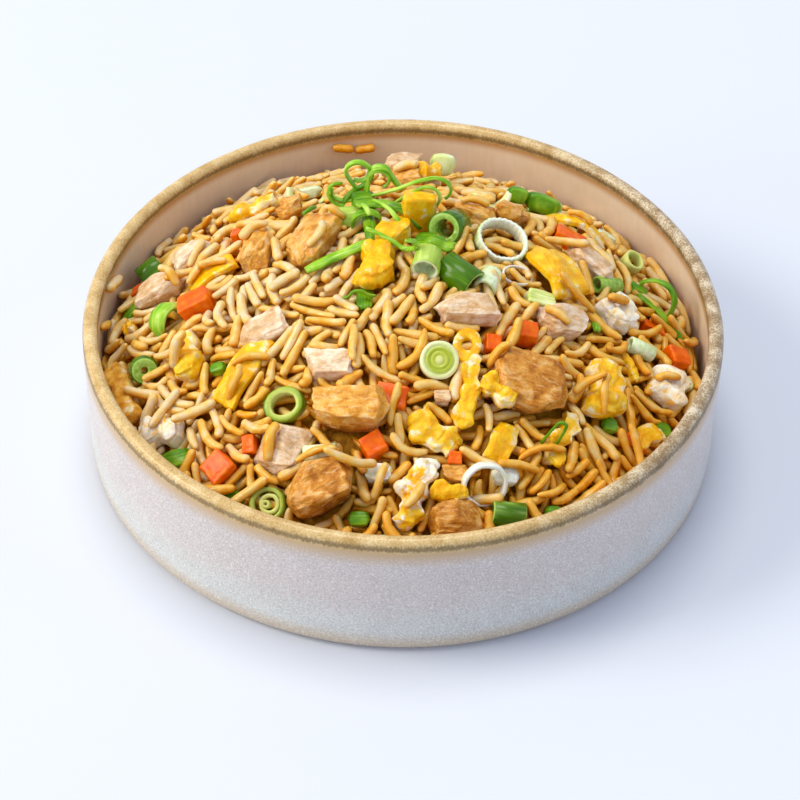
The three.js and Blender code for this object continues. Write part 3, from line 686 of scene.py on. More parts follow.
def bowl_shape():
    """The bowl's wall from the middle of its foot round the rim to the middle of the well."""
    # Each curve lists how far its points stand from the edge that they round, and from its height.
    foot_curve = ((-2, 0), (0, 0.05), (1.7, 0.4), (3, 1.1), (3.8, 2.3))
    rim_curve = ((0.1, 2.6), (0.45, 1.3), (1.1, 0.5), (1.9, 0.1), (2.6, 0))
    lip_curve = ((1.5, 0.1), (0.8, 0.5), (0.3, 1.2), (0.15, 2.4))
    side_steps, corner_steps, sides = 14, 8, 180
    inner = RIM_RADIUS - (WALL + 0.4)
    straight = BOWL_HEIGHT - LIP_DEPTH
    profile = [(0, 0), (FOOT_RADIUS * 0.5, 0)]
    profile += [(FOOT_RADIUS + out, height) for out, height in foot_curve]
    profile.append((RIM_RADIUS - TAPER, BASE_ROUND))
    for i in range(1, side_steps + 1):
        share = i / side_steps
        height = BASE_ROUND + share * (straight - BASE_ROUND)
        profile.append((RIM_RADIUS - TAPER * (1 - share) ** 1.3 - 0.05, height))
    profile += [(RIM_RADIUS - inset, BOWL_HEIGHT - drop) for inset, drop in rim_curve]
    profile += [(inner + out, BOWL_HEIGHT - drop) for out, drop in lip_curve]
    profile.append((WELL_RADIUS, straight))
    for height in range(straight - 3, FLOOR + INNER_CORNER, -4):
        share = (height - FLOOR - INNER_CORNER) / (straight - FLOOR - INNER_CORNER)
        profile.append((WELL_RADIUS - WELL_TAPER * (1 - share), height))
    for i in range(corner_steps + 1):
        turn = i / corner_steps * math.pi / 2
        reach = WELL_RADIUS - WELL_TAPER - INNER_CORNER * (1 - math.cos(turn))
        profile.append((reach, FLOOR + INNER_CORNER * (1 - math.sin(turn))))
    profile.append((0, FLOOR))
    points, faces = lathe(profile, sides)
    hand_made = 0.12 * (noise(points * 0.045, 3) - 1) * (points[:, 2] > 8)
    return points + outward(points) * hand_made[:, None], facing_out(points, faces)


add_piece("bowl_glazed", bowl_shape(), glaze_finish(), "bowl")

# ---------------- where the food lies

def row_of(kind, *names):
    """Writes rows of one kind: its finish, its first values in this order, then others by name."""
    def row(finish, *values, **more):
        return finish, kind, {**dict(zip(names, values)), **more}

    return row


SOLID = ("size", "at", "lift", "turn", "seed")
cube, chunk, curds, flap, block = (row_of(kind, *SOLID) for kind in (diced, chopped, curd, fold, lump))
cut = row_of(tube, "radius", "wall", "length", "at", "lift", "turn")
hoop = row_of(ring, "radius", "wall", "height", "at", "lift", "turn")
coil = row_of(nested, "radius", "wall", "height", "at", "lift")
face = row_of(disc, "radius", "height", "at", "lift")
strip = row_of(ribbon, "bends", "width", "at", "lift", "turn")

# The key is the node that a piece stands for.
PLACED = {
    "bean_top": cut("bean", 5.4, 2.4, 11, (14, 19), 4, 70, lean=-24),
    "bean_top_low": cut("bean", 5.2, 1.6, 12, (17, -3), 1.5, -40),
    "onion_half": cut("onion_tube", 4.4, 1.2, 8, (7, -1), 3, 80),
    "ring_large": hoop(
        "ring_pale", 8.4, 1.2, 6, (30, 15), 4.5, -20, lean=26, squash=0.88, pleats=28, sides=112
    ),
    "onion_slice": face("layers", 5.9, 4, (11, -36), 2, lean=24),
    "ring_green": hoop("ring_green", 6.3, 2.3, 4, (-35, -47), 1.5, 15, lean=8, squash=0.85),
    "ring_front_left": coil("ring_green", 5.5, 1.3, 4, (-39, -74), 1, lean=10),
    "ring_white": hoop("ring_white", 7, 1.2, 3, (25, -71), 4, lean=40, side=8),
    "bean_left_back": cut("bean_small", 4.3, 1.5, 8, (-81, 31), 1.5, 25),
    "bean_left": cut("bean_small", 4.4, 3.2, 6, (-80, -18), 1.5, 100, lean=-40),
    "bean_front": cut("bean_small", 4, 1.4, 10, (32, -76), 0),
    "onion_band": strip("strip", ((12, -130), (7, -50)), 7, (-76, -6), 1, 60, lean=10, head=80),
    "carrot_left": cube("carrot", (10.5, 8, 8), (-64, -1), 1.5, 8, 1),
    "carrot_front_left": cube("carrot", (8.5, 8.5, 8), (-54, -61), 1, 38, 3),
    "carrot_centre": cube("carrot", (9.5, 7, 7), (-3, -47), 0, -12, 4),
    "carrot_centre_front": cube("carrot", (7, 6.5, 7), (-8, -61), 0, 30, 5),
    "carrot_right_mid": cube("carrot", (7, 6, 6.5), (37, -21), 1, 4, 6),
    "carrot_back_right": cube("carrot", (9.5, 7, 5), (52, 32), 0.5, -14, 7),
    "carrot_right_rim": cube("carrot", (7, 6.5, 6.5), (85, -6), 0.5, 20, 8),
    "egg_top": curds("egg_deep", (30, 13, 11), (-7, 5), 3, 76, 1, lobes=3),
    "egg_block": block("egg_deep", (11, 10, 16), (4, 23), 5, 10, 2, square=0.6),
    "egg_right_big": flap("egg_deep", (20, 15, 9), (47, 7), 2.5, -55, 3, thick=4, arch=0.5),
    "egg_back_left": curds("egg", (18, 10, 8), (-49, 48), 1, 5, 4),
    "egg_yellow_left": flap("egg_deep", (17, 8, 6), (-60, 13), 1, 28, 5),
    "egg_curd_left": curds("egg", (18, 10, 9), (-66, -20), 1.5, 95, 6),
    "egg_bright_left": flap("egg_deep", (25, 9, 6), (-48, -32), 0.5, 55, 7),
    "egg_left_rim": curds("egg_fried", (27, 8, 7), (-86, -23), 1, -70, 8, lobes=3),
    "egg_cream_left": curds("egg_cream", (15, 12, 9), (-73, -43), 1, 5, 9),
    "egg_ring": hoop("egg", 6, 3.6, 7, (19, -30), 0.5, 80, squash=0.72),
    "egg_curl": curds("egg", (24, 8, 8), (20, -45), 2, 84, 11, lobes=3),
    "egg_centre": curds("egg", (17, 13, 8), (10, -57), 1, -40, 12),
    "egg_strip_front": flap("egg_deep", (13, 8, 5), (30, -57), 0.5, 70, 13, thick=2.5),
    "egg_front": curds("egg_white", (22, 10, 9), (4, -74), 1.5, 74, 14, lobes=3),
    "egg_front_rim": curds("egg_deep", (21, 7, 6), (-27, -84), 3.5, -16, 15, lobes=3),
    "egg_back_right": flap("egg", (22, 9, 8), (55, 43), 1.5, -12, 16, arch=0.8),
    "egg_white_right": curds("egg_cream", (15, 13, 9), (67, 1), 1, 50, 17),
    "egg_right": curds("egg", (20, 14, 10), (62, -32), 1.5, 85, 18),
    "egg_right_rim": curds("egg_cream", (14, 12, 10), (82, -21), 2, 60, 19),
    "egg_right_front": curds("egg", (14, 7, 6), (75, -41), 0.5, 35, 20),
    "egg_front_right": curds("egg", (20, 8, 7), (48, -52), 0.5, 68, 21, lobes=3),
    "chicken_centre": chunk("browned", (23, 15, 15), (-16, -51), 3, -8, 1),
    "chicken_front": chunk("roasted", (20, 17, 16), (-24, -72), 2, 20, 2),
    "chicken_right": chunk("roasted", (25, 18, 16), (37, -39), 2.5, -14, 3),
    "chicken_striped": chunk("browned", (23, 14, 12), (-28, 17), 1.5, 62, 4),
    "chicken_left": chunk("browned", (16, 10, 11), (-46, 16), 1, 75, 5),
    "chicken_front_right": chunk("roasted", (17, 12, 12), (17, -80), 0.5, 6, 6),
    "chicken_back": chunk("browned", (12, 9, 9), (0, 53), 3, -8, 7),
    "chicken_back_right": chunk("browned", (16, 9, 8), (22, 31), 1, -18, 8),
    "chicken_finger": chunk("pale", (24, 10, 9), (21, -17), 2, 8, 9),
    "chicken_cream_right": chunk("pale", (18, 12, 8), (49, -13), 1.5, 12, 10),
    "chicken_right_back": chunk("pale", (17, 10, 8), (58, 21), 0.5, -32, 11),
    "chicken_pink_left": chunk("pale", (16, 12, 9), (-77, 16), 1.5, 8, 12),
    "chicken_cream_left": chunk("white_meat", (15, 10, 8), (-68, 30), 1, 35, 13),
    "chicken_slice_left": chunk("pale", (18, 10, 7), (-43, -19), 1, 16, 14),
    "chicken_pale_centre": chunk("white_meat", (18, 10, 8), (-22, -36), 0.5, -6, 15),
    "chicken_flat": chunk("pale", (16, 16, 8), (-35, -58), -0.5, -24, 16),
}

CURLS = {
    "scallion_curls": (
        cut("onion_tube", 4.2, 1.2, 13, (-17, 24), 3, lean=10),
        strip("strip", ((9, 0), (22, -320)), 2.2, (-14, 31), 8, lean=14, head=112),
        strip("strip", ((11, 0), (9, -150), (8, 20)), 3.2, (-13, 31), 6, lean=14, head=76),
        strip("strip", ((6, -10), (8, -130)), 1.6, (-13, 29), 9, lean=14, head=200),
        strip("strip", ((25, 310),), 2.6, (-7, 19), 4.5, lean=8, head=95),
        strip("strip_dark", ((9, -5), (15, -80)), 4, (-16, 25), 9, lean=8, head=8, drift=-6),
        strip("strip_dark", ((20, -10),), 4, (-12, 27), 6, -84),
        strip("strip", ((10, -15), (15, 200)), 2.2, (-12, 9), 10, head=-20, drift=-12),
        strip("strip", ((24, -8),), 4.2, (-9, 10), 4.5, 204, head=-4),
        strip("strip", ((17, 20), (7, -20), (13, -150)), 1.4, (-14, 28), 9, lean=14, head=5),
        block("strip_dark", (8, 6, 7), (-13, 28), 7, seed=6, square=0.3),
        strip("strip", ((6, 20), (14, -250)), 1.3, (-12, 29), 9, lean=8, head=70),
        strip("strip", ((6, -70), (8, -130)), 1.1, (-19, 27), 7, head=175),
        strip("strip", ((11, -15), (12, -175)), 1.1, (-4, 24), 8, head=40),
        strip("strip", ((8, -20), (8, -150)), 1, (-4, 21), 7, head=30),
        strip("strip_dark", ((5, 70), (5, -100), (5, 90)), 5, (3, 8), 5, -20, head=-10),
        strip("strip", ((8, 30), (7, -90)), 1.8, (-15, 24), 9, -70, head=10),
        strip("strip", ((9, -40), (9, -60)), 1.6, (-10, 24), 10, -50, head=20),
        strip("strip_dark", ((9, -60), (6, 60)), 2.4, (-20, 28), 6, 30, head=60),
    ),
    "scallion_curl_right": (
        strip("strip_dark", ((10, -60), (10, -100), (8, 30)), 3.4, (74, 22), 1, -35, head=80),
        strip("strip_dark", ((16, -20), (10, -60)), 3.2, (74, 18), 0.5, -30, head=10),
        block("strip_dark", (7, 5, 4), (74, 20), 0.5, seed=8, square=0.3),
    ),
}

# Bits under the size of a berry, which the rice node holds.
BITS = (
    cube("carrot", (7, 5, 5), (-51, 31), 0.5),
    block("strip_dark", (8, 6, 6), (7, 11), 1.5),
    chunk("browned", (8, 7, 7), (-37, 38), 1),
    curds("egg", (7, 7, 6), (8, 55), 1),
    block("strip_pale", (8, 7, 8), (12, 66), 6, square=0.2),
    chunk("browned", (10, 8, 7), (34, 38), 0),
    cut("bean_small", 3.8, 1.4, 10, (45, 54), 0),
    hoop("ring_green", 3.6, 1.1, 4, (73, 34), 2.5, lean=30),
    cut("onion_tube", 3.6, 1.2, 8, (26, -3), 1, 70),
    cube("strip_pale", (9, 6, 5), (42, -6), 0.5),
    cube("carrot", (8, 3, 4), (78, 3), 0),
    cut("onion_tube", 2.6, 1, 9, (74, -9), 0.5),
    curds("egg_deep", (14, 5, 4), (70, -17), 0, -60),
    cube("carrot", (7, 5, 4), (71, -44), 0),
    cube("carrot", (5, 6, 7), (27, -27), -0.5),
    chunk("pale", (5, 5, 6), (12, -46), 0.5),
    chunk("browned", (8, 7, 6), (16, -67), 0),
    block("onion", (8, 7, 7), (31, -66), 0.5, square=0.35),
    chunk("onion", (8, 7, 5), (-7, -68), 0.5),
    block("onion", (7, 4, 5), (8, -66), 0.5, square=0.4),
    cube("carrot", (4, 6, 6), (-45, -56), 0),
    block("strip_dark", (10, 7, 4), (-68, -53), 0),
    curds("egg", (5, 8, 7), (-86, 5), 0.5),
    block("onion_tube", (12, 5, 4), (-33, 54), 0.5),
    strip("strip_dark", ((11, -30),), 5, (-12, -17), 0.5, 90, thick=1),
    block("strip_dark", (6, 5, 5), (46, -73), 0),
    strip("strip", ((10, -30),), 3, (60, -10), 0.5, 90, thick=1),
    cut("bean_small", 2.8, 1, 10, (64, 14), 0.5, 30),
    cut("onion_tube", 2.4, 1, 10, (-24, -61.5), 0.5),
    block("strip_dark", (6, 5, 5), (-12, -80), 0),
    block("onion_tube", (5, 5, 4), (88, -13), 0),
    block("strip_dark", (5, 5, 4), (80, -36), 0.5),
    block("strip_dark", (5, 5, 4), (63, -42), 0),
    block("strip_dark", (5, 4, 4), (-56, -28), 0),
    block("onion", (6, 4, 4), (-45, 29), 0),
    block("onion_tube", (7, 6, 4), (65, 50), 0),
    cube("carrot", (5, 5, 4), (-84, 24), 0),
    block("strip_dark", (9, 5, 3), (-86, 14), 0, 60),
    curds("egg", (13, 9, 8), (28, -45), 5, -15, 22),
    strip("strip_dark", ((7, -25),), 1.6, (-32, 25), 6.5, 60),
    strip("strip_pale", ((6, 60), (10, 90)), 5.5, (-37, 50), 6, -10, head=-110, lean=-20),
    strip("strip_dark", ((9, -8), (4, -164), (9, -8)), 1, (42, -55), 1, lean=-30, head=80),
    strip("strip_dark", ((4, 60), (5, -120), (4, 60)), 1, (-19, -13), 1.5),
    hoop("ring_white", 5, 0.7, 1.6, (35, 2), 1.5, squash=0.7, lean=16),
    curds("egg_deep", (10, 6, 6), (15, -75), 4, seed=23),
    block("onion_tube", (8, 4, 3), (-5, -86), 0.5),
    block("strip_dark", (8, 5, 3), (-50, -70), 0.5),
    block("strip_dark", (7, 6, 6), (36, 50), 4, square=0.2),
    block("strip_dark", (12, 7, 7), (44, 50), 3.5, square=0.2),
    chunk("pale", (13, 8, 8), (-1, 60), 6, -8, 24),
    curds("egg_deep", (8, 7, 6), (8, 55), 6, seed=25),
    chunk("browned", (9, 7, 7), (33, 34), 4, seed=26),
    chunk("browned", (8, 7, 7), (-36, 37), 4, seed=27),
    strip("strip_pale", ((8, 60), (8, 90)), 4, (22, 42), 4, 20, head=-60),
    cube("carrot", (4, 4, 4), (16, -64), 1),
)

SEAT_KEYS = ("at", "lift", "turn", "lean", "side")


def shape_and_seat(kind, values):
    pose = seat(**{k: v for k, v in values.items() if k in SEAT_KEYS})
    points, faces = kind(**{k: v for k, v in values.items() if k not in SEAT_KEYS})
    return (points, facing_out(points, faces)), pose


def too_high(made, node):
    """How far the highest of the (shape, pose) pairs stands above the top of its node."""
    top = max(moved(points, pose)[:, 2].max() for (points, _), pose in made)
    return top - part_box(node)[1][2] / MM


toppings = []  # world-space points of everything that the rice lies round

for node, (finish, kind, values) in PLACED.items():
    shape, pose = shape_and_seat(kind, values)
    pose.translation.z -= too_high([(shape, pose)], node)
    add_piece(node + "_food", shape, FINISHES[finish], node, pose)
    toppings.append(moved(shape[0], pose))

for node, strips in CURLS.items():
    made = [shape_and_seat(kind, values) for _, kind, values in strips]
    drop = too_high(made, node)
    for number, ((finish, _, _), (shape, pose)) in enumerate(zip(strips, made)):
        pose.translation.z -= drop
        add_piece(f"{node}_{number}", shape, FINISHES[finish], node, pose)

for number, (finish, kind, values) in enumerate(BITS):
    shape, pose = shape_and_seat(kind, values)
    add_piece(f"bit_{number}", shape, FINISHES[finish], "rice", pose)
    toppings.append(moved(shape[0], pose))


# ---------------- the rice

STATIONS = np.linspace(-1, 1, 9)  # places along a grain where it is held up
NESTLE = 0.42  # soft grains press into each other: this share of the radius is kept
BLUNT = 0.82  # a grain keeps its width to this share of its half length
SAG = 1.6  # how far a soft grain bends, up or down, over what it lies on
SHORTEST, LONGEST = 0.66, 1.2  # as a share of GRAIN_LENGTH
BOW, MOST_BOW = 0.95, 2.6  # how much grains curve sideways, as a rule and at most
SPOTS = 9  # a grain takes the lowest of so many spots
STEEP, STEEPEST, STEEP_SHARE = 0.6, 0.95, 0.15  # slopes of grains, and the share that lies steeper
GRAIN_SIDES = 7
GRAIN_RINGS = np.array([-0.993, -0.965, -0.9, -0.8, -0.42, 0, 0.42, 0.8, 0.9, 0.965, 0.993])
PHASES = 2 * np.pi * np.arange(GRAIN_SIDES) / GRAIN_SIDES
SWIRL_SEED, SAUCE_SEED, PILE_SEED = 21, 31, 41
SCATTER = 92.5  # grains start within this distance of the middle
SWIRL_SIZE, HEADING_SPREAD = 22, 0.9  # neighbours share a heading, within a spread in radians
PILE_SIZE, PILE_HEIGHT = 13, 1.3  # the top of the heap is uneven by this much
BACK_START, BACK_DROP = 30, 1.6  # from this far back the heap lies a little lower
SHADE_RIGHT_FRONT, SAUCE_PATCH = 0.26, 0.3  # painted shade darkens grains at the right and front; sauce stains them in patches
CROOK = 0.8
NOWHERE = 99  # stands for the height of a spot that no grain may take


class Ground:
    """The height of what lies in the bowl, cell by cell, and which cells are toppings."""

    def __init__(self):
        side = np.arange(-REACH + CELL / 2, REACH, CELL)
        x, y = np.meshgrid(side, side, indexing="ij")
        self.height = heap_height(x, y) - CORE_DEPTH
        self.topping = np.zeros(self.height.shape, bool)

    def cells(self, x, y):
        last = len(self.height) - 1
        return tuple(np.clip(((v + REACH) / CELL).astype(int), 0, last) for v in (x, y))

    def raise_to(self, x, y, z):
        np.maximum.at(self.height, self.cells(x, y), z)

    def add_topping(self, points):
        """Counts a topping from a little inside its outline, so that grains lie against it."""
        before = self.height.copy()
        self.raise_to(*points.T)
        self.height = np.maximum(self.height, widened(self.height * (self.height > before), 1))
        raised = self.height > before + 0.2
        inner = widened(raised, -2)
        self.height = np.where(inner, self.height, before)
        self.topping |= inner


def widened(grid, cells):
    """The grid with each cell the highest within so many cells, or the lowest if negative."""
    choose = np.maximum if cells > 0 else np.minimum
    for _ in range(abs(cells)):
        for axis in (0, 1):
            grid = choose(choose(grid, np.roll(grid, 1, axis)), np.roll(grid, -1, axis))
    return grid


def grain_width(s):
    """Share of the full radius at s, from -1 at one end to 1 at the other."""
    past = np.clip((np.abs(s) - BLUNT) / (1 - BLUNT), 0, 1)
    return np.sqrt(1 - past**2) * (1 - 0.2 * s * s - 0.08 * s)


def rest_height(ground, x, y, heading, length, bow):
    """How grains come to rest at x, y: centre height, rise from middle to end, sag, the
    share of each that lies on a topping, and how far out it reaches."""
    s = STATIONS[None, :]
    radius = GRAIN_RADIUS * np.maximum(grain_width(s), 0.4)
    cos, sin = np.cos(heading)[:, None], np.sin(heading)[:, None]
    off = bow[:, None] * (1 - s * s)
    px = x[:, None] + cos * s * length[:, None] / 2 - sin * off
    py = y[:, None] + sin * s * length[:, None] / 2 + cos * off
    need = np.full(px.shape, -np.inf)
    for across in (-0.5, 0, 0.5):
        at = ground.cells(px - sin * across * radius, py + cos * across * radius)
        need = np.maximum(need, ground.height[at] + NESTLE * radius * math.sqrt(1 - across**2))
    covered = ground.topping[ground.cells(px, py)].mean(axis=1)
    reach = np.hypot(px, py).max(axis=1)
    sag = np.clip(np.polyfit(STATIONS, need.T, 2)[0], -SAG, SAG)
    rise, centre = np.polyfit(STATIONS, (need - sag[:, None] * s * s).T, 1)
    lift = (need - centre[:, None] - rise[:, None] * s - sag[:, None] * s * s).max(axis=1)
    return centre + lift, rise, sag, covered, reach


def piled_height(x, y):
    """The height that loose grains are heaped to: uneven, and a little lower at the back."""
    uneven = PILE_HEIGHT * noise(flat(x / PILE_SIZE, y / PILE_SIZE), PILE_SEED)
    return heap_height(x, y) + (uneven - BACK_DROP * np.clip((y - BACK_START) / BACK_START, 0, 1))


def deposit(ground, count, ceiling, least, most, draw):
    """Drops grains one by one, each on the lowest of a few spots, and returns them. least and
    most say how much of a grain may lie on a topping, and ceiling how high it may lie."""
    grains = []
    for _ in range(3 * count):
        if len(grains) == count:
            break
        radius = SCATTER * np.sqrt(draw.random(4 * SPOTS))
        angle = 2 * np.pi * draw.random(4 * SPOTS)
        x, y = radius * np.cos(angle), radius * np.sin(angle)
        hollow = ground.height[ground.cells(x, y)] - piled_height(x, y)
        lowest = hollow.argsort()[:SPOTS]
        x, y = x[lowest], y[lowest]
        swirl = noise(flat(x / SWIRL_SIZE, y / SWIRL_SIZE), SWIRL_SEED)
        heading = 3 * np.pi * swirl + draw.normal(0, HEADING_SPREAD, SPOTS)
        length = GRAIN_LENGTH * draw.uniform(SHORTEST, LONGEST, SPOTS)
        bow = np.clip(draw.normal(0, BOW, SPOTS), -MOST_BOW, MOST_BOW)
        centre, rise, sag, covered, reach = rest_height(ground, x, y, heading, length, bow)
        over = centre - piled_height(x, y)
        ahead = heap_height(x + np.cos(heading), y + np.sin(heading)) - heap_height(x, y)
        steepest = STEEPEST if draw.random() < STEEP_SHARE else STEEP
        bad = np.abs(rise / (length / 2) - ahead) > steepest
        bad |= (reach > WELL_RADIUS - 1.6) | (over > ceiling) | (covered > most) | (covered < least)
        over = np.where(bad, NOWHERE, over)
        k = over.argmin()
        if over[k] < NOWHERE:
            row = (v[k] for v in (x, y, centre, heading, length, bow, rise, sag))
            grains.append(settle_on(ground, finished(row, draw)))
    return grains


def finished(row, draw, **given):
    """A grain with its own crook, twist, outline and tone: 0 is cream, 1 is browned; its tone also
    carries painted shade at the right and front.
    """
    grain = dict(zip(("x", "y", "z", "heading", "length", "bow", "rise", "sag"), row))
    spot = np.array([[grain["x"], grain["y"], 0]])
    # Painted shade: grains at the right and front get a browner tone; the sauce patches are real stain.
    shade_and_sauce = SHADE_RIGHT_FRONT * (grain["x"] - 0.6 * grain["y"]) / HEAP_RADIUS
    shade_and_sauce += SAUCE_PATCH * noise(spot * 0.045, SAUCE_SEED)[0]
    tone = min(max(0.16 + 0.5 * draw.random() + shade_and_sauce, 0), 1)
    own = dict(crook=draw.normal(0, CROOK), twist=draw.uniform(0, np.pi), tone=tone, shape=draw.random(3))
    return {**own, **grain, **given}


def laid(ground, draw, x, y, heading, length, bow):
    """A grain laid at a given spot on whatever is there."""
    spot = [np.array([float(v)]) for v in (x, y, np.radians(heading), length, bow)]
    centre, rise, sag, _, _ = rest_height(ground, *spot)
    row = (v[0] for v in (*spot[:2], centre, *spot[2:], rise, sag))
    return settle_on(ground, finished(row, draw))


def stuck(draw, angle, height, rise, length, tone):
    """A grain stuck to the inside of the bowl's wall."""
    straight = BOWL_HEIGHT - LIP_DEPTH
    out = WELL_RADIUS - WELL_TAPER * (straight - height) / (straight - FLOOR) - GRAIN_RADIUS
    turn = math.radians(angle)
    row = (out * math.cos(turn), out * math.sin(turn), height, turn + math.pi / 2, length, 0, rise, 0)
    return finished(row, draw, tone=tone)


def along(grain, s):
    """Points on a grain's centre line."""
    cos, sin = math.cos(grain["heading"]), math.sin(grain["heading"])
    step = s * grain["length"] / 2 / math.hypot(1, grain["rise"] / (grain["length"] / 2))
    off = (grain["bow"] + grain["crook"] * s) * (1 - s * s)
    x = grain["x"] + cos * step - sin * off
    y = grain["y"] + sin * step + cos * off
    return np.stack([x, y, grain["z"] + grain["rise"] * s + grain["sag"] * s * s], axis=1)


def settle_on(ground, grain):
    """Adds a grain to the height field."""
    s, across = (a.ravel() for a in np.meshgrid(np.linspace(-1, 1, 33), np.linspace(-0.95, 0.95, 9)))
    radius = GRAIN_RADIUS * np.maximum(grain_width(s), 0.3)
    x, y, z = along(grain, s).T
    cos, sin = math.cos(grain["heading"]), math.sin(grain["heading"])
    side = across * radius
    ground.raise_to(x - sin * side, y + cos * side, z + radius * np.sqrt(1 - across**2))
    return grain


def showing(ground, grain, depth):
    """Whether any of a grain lies within depth of the top."""
    x, y, z = along(grain, np.linspace(-0.9, 0.9, 7)).T
    return bool((z + GRAIN_RADIUS > ground.height[ground.cells(x, y)] - depth).any())


def grain_shape(grain):
    """A long grain with blunt ends, oval across, with a faint ridge and a wavering outline."""
    s = GRAIN_RINGS
    first, second, third = grain["shape"]
    width = GRAIN_RADIUS * (0.8 + 0.34 * first) * grain_width(s * (1 if second > 0.5 else -1))
    width = width * (1 + 0.08 * np.sin(6 * s + 9 * third))
    forward = unit(along(grain, s + 0.02) - along(grain, s - 0.02))
    sideways = unit(np.cross([0, 0, 1], forward))
    upward = np.cross(forward, sideways)
    turned = (PHASES + grain["twist"])[None, :, None]
    out = np.cos(turned) * sideways[:, None] + 0.88 * np.sin(turned) * upward[:, None]
    ridge = 1 + 0.05 * np.cos(3 * PHASES)
    rings = along(grain, s)[:, None, :] + width[:, None, None] * ridge[None, :, None] * out
    return np.vstack([rings.reshape(-1, 3), along(grain, np.array([-1.0, 1.0]))])


def painted_light(grain, points):
    """For each point of a grain, 1 on its upper side near the top of the heap and 0 on its underside and
    deep down: painted light and shade."""
    upward = np.tile(0.5 + 0.5 * np.sin(PHASES + grain["twist"]), len(GRAIN_RINGS))
    depth = heap_height(points[:, 0], points[:, 1]) - points[:, 2]
    return np.append(upward, [0.5, 0.5]) * (0.4 + 0.6 * np.clip(1.3 - depth / 2.6, 0, 1))


def grain_faces():
    faces = []
    last_ring = (len(GRAIN_RINGS) - 1) * GRAIN_SIDES
    for start, k in product(range(0, last_ring, GRAIN_SIDES), range(GRAIN_SIDES)):
        a, b = start + k, start + (k + 1) % GRAIN_SIDES
        faces.append([a, b, b + GRAIN_SIDES, a + GRAIN_SIDES])
    tip = last_ring + GRAIN_SIDES
    for k in range(GRAIN_SIDES):
        after = (k + 1) % GRAIN_SIDES
        faces += [[tip, after, k], [tip + 1, last_ring + k, last_ring + after]]
    return faces


def add_grains(name, grains, material):
    """Many grains as one mesh, with each one's tint and the place along it stored."""
    template = grain_faces()
    shapes = [(grain_shape(g), template) for g in grains]
    points, faces = joined(shapes)
    piece = add_piece(name, (points, facing_out(points, faces)), material, "rice")
    place = np.append(np.repeat((GRAIN_RINGS + 1) / 2, GRAIN_SIDES), [0, 1])
    colours = np.ones((len(points), 4))
    colours[:, 0] = np.repeat([g["tone"] for g in grains], len(place))
    colours[:, 1] = np.tile(place, len(grains))
    colours[:, 2] = np.concatenate([painted_light(g, shape[0]) for g, shape in zip(grains, shapes)])
    stored = piece.data.color_attributes.new("tint", "FLOAT_COLOR", "POINT")
    stored.data.foreach_set("color", colours.ravel())


# Grains that lie on toppings: x, y, heading in degrees, length, bow.
LOOSE = (
    (-15, -69, 8, 17, -1.6),
    (29, -36, 8, 9, 1.2),
    (-70, 13, 20, 10, 2),
    (-74, 12, -30, 8, 1),
    (-66, 14, 60, 8, -1),
    (-22, 26, 2, 7, 0.6),
    (-22, 22, 14, 7, -0.6),
    (-25, -66, 22, 13, 2.2),
    (-38, -60, 70, 11, 1.2),
    (0, 53, 5, 8, 1),
    (47, -15, -30, 9, 0.5),
    (62, -39, 80, 12, 1),
    (57, -38, 25, 11, 2.4),
    (-46, -32, 8, 12, 1),
    (-51, -38, 65, 9, -1),
    (67, 2, 40, 8, 0.5),
    (22, 32, 0, 9, 1),
    (56, 43, -20, 9, 1),
    (-47, 22, 35, 10, 2),
    (-28, 12, 70, 11, -2),
    (-60, 14, 10, 9, 1.5),
    (4, -78, 50, 9, -1),
    (82, -22, 20, 8, 0.8),
    (-68, -24, 50, 9, 1.6),
)
# Grains that are stuck to the wall: angle and height of their middle, rise, length, tone.
STUCK = (
    (168, 41, 1.6, 11, 0.1),
    (177, 36, 2, 8, 0.7),
    (103, 39.6, 0.6, 7, 1),
    (98.5, 38.4, -0.4, 7, 1),
)


def core_shape():
    """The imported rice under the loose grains: a mound on a plug that fills the bowl."""
    wall = WELL_RADIUS - 1.2
    corner = FLOOR + 0.4
    top_rings, sectors = 60, 160
    profile = [(r, 0) for r in np.linspace(0, wall, top_rings)]
    profile += [(wall, corner + INNER_CORNER), (wall - 3.5, corner + 3.5)]
    profile += [(wall - INNER_CORNER, corner), (0, corner)]
    points, faces = lathe(profile, sectors)
    top = 1 + (top_rings - 1) * sectors
    x, y = points[:top, 0], points[:top, 1]
    points[:top, 2] = heap_height(x, y) - CORE_DEPTH + 0.9 * crags(flat(x, y) * 0.35, 2)
    return points, facing_out(points, faces)


add_piece("rice_core", core_shape(), core_finish(), "rice")

draw = np.random.default_rng(RICE_SEED)
ground = Ground()
grains = deposit(ground, count=2400, ceiling=-1.9, least=0, most=1, draw=draw)
for points in toppings:
    ground.add_topping(points)
grains += deposit(ground, count=3000, ceiling=1.2, least=0, most=0.2, draw=draw)
grains = [g for g in grains if showing(ground, g, depth=4)]
grains += deposit(ground, count=18, ceiling=5, least=0.3, most=0.7, draw=draw)
grains += [laid(ground, draw, *row) for row in LOOSE]
grains += [stuck(draw, *row) for row in STUCK]

# The least and the most of the grains' own tone, and how much sauce is added to it.
RICE_KINDS = {
    "rice_pale": (0.0, 0.34, 0.0),
    "rice_golden": (0.34, 0.6, 0.04),
    "rice_browned": (0.6, 1.01, 0.1),
}
for name, (low, high, sauced) in RICE_KINDS.items():
    chosen = [g for g in grains if low <= g["tone"] < high]
    add_grains(name, chosen, rice_finish(name, sauced))

# ---------------- floor, camera and light

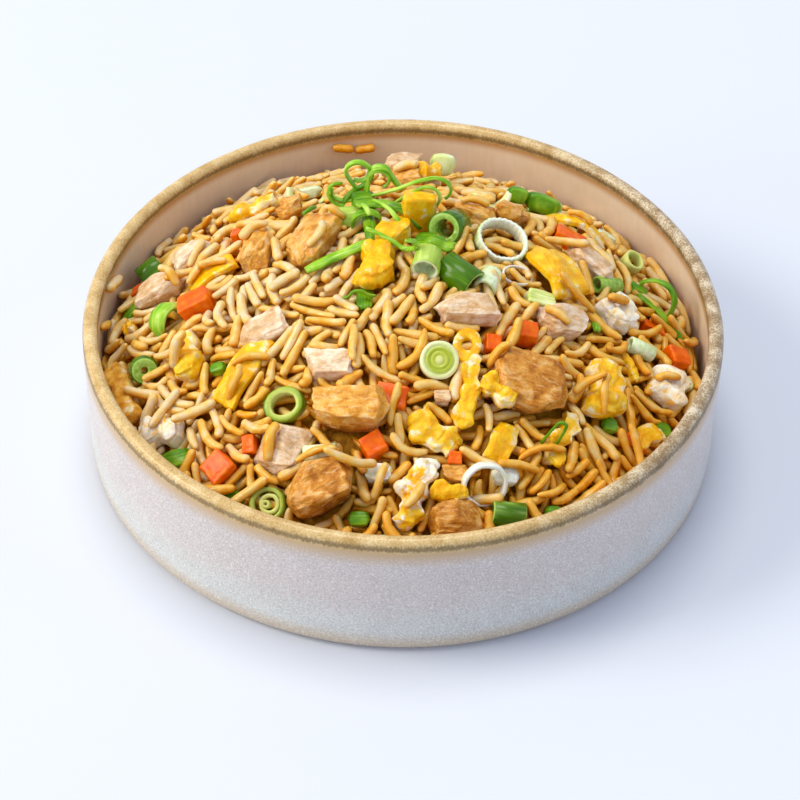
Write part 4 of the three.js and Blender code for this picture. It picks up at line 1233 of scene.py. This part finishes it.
ELEVATION = math.radians(41.646)
DISTANCE = 1000 * MM
FOCAL_LENGTH = 144.4
ROLL = math.radians(0.97)
AIM = Vector((-0.55, -11.05, 21.0)) * MM
FLOOR_REACH = 40  # metres each way


def add_floor():
    points = FLOOR_REACH * np.array([(-1, -1, 0), (1, -1, 0), (1, 1, 0), (-1, 1, 0)])
    look = Finish("floor_pale", roughness=0.6)
    look.fill(look.shader, {"Base Color": look.mix(look.noise(300, 1), "D5D8E1", "D7DAE3")})
    add_object("floor", points, [[0, 1, 2, 3]], look.material)


def add_camera():
    data = bpy.data.cameras.new("camera")
    data.lens = FOCAL_LENGTH
    camera = bpy.data.objects.new("camera", data)
    back = DISTANCE * math.cos(ELEVATION)
    camera.location = (0, -back, DISTANCE * math.sin(ELEVATION) + BOWL_HEIGHT * MM)
    towards = (AIM - camera.location).to_track_quat("-Z", "Y")
    camera.rotation_mode = "QUATERNION"
    camera.rotation_quaternion = towards @ Quaternion((0, 0, 1), ROLL)
    bpy.context.scene.collection.objects.link(camera)
    bpy.context.scene.camera = camera


def add_light(name, place, size, power, colour):
    """A round lamp at a place in metres, turned towards the bowl."""
    data = bpy.data.lights.new(name, "AREA")
    data.shape = "DISK"
    data.size = size
    data.energy = power
    data.color = colour
    light = bpy.data.objects.new(name, data)
    light.location = place
    light.rotation_euler = (-Vector(place)).to_track_quat("-Z", "Y").to_euler()
    bpy.context.scene.collection.objects.link(light)


def add_sky(colour, strength):
    world = bpy.data.worlds.new("studio")
    world.use_nodes = True
    sky = world.node_tree.nodes["Background"]
    sky.inputs["Color"].default_value = colour
    sky.inputs["Strength"].default_value = strength
    bpy.context.scene.world = world


add_floor()
add_camera()
add_light("key", (-2.4, -0.1, 2.0), 1.5, 57, (1, 0.95, 0.8))
add_light("side", (-2.8, -0.9, 0.6), 1.0, 15, (1, 0.97, 0.92))
add_light("top", (-0.15, 0.6, 2.9), 1.4, 34, (1, 0.97, 0.85))
add_light("fill", (2.6, -0.3, 1.6), 1.6, 5, (0.86, 0.92, 1))
add_sky((0.72, 0.81, 1, 1), 0.76)
bpy.context.scene.view_settings.view_transform = "Standard"
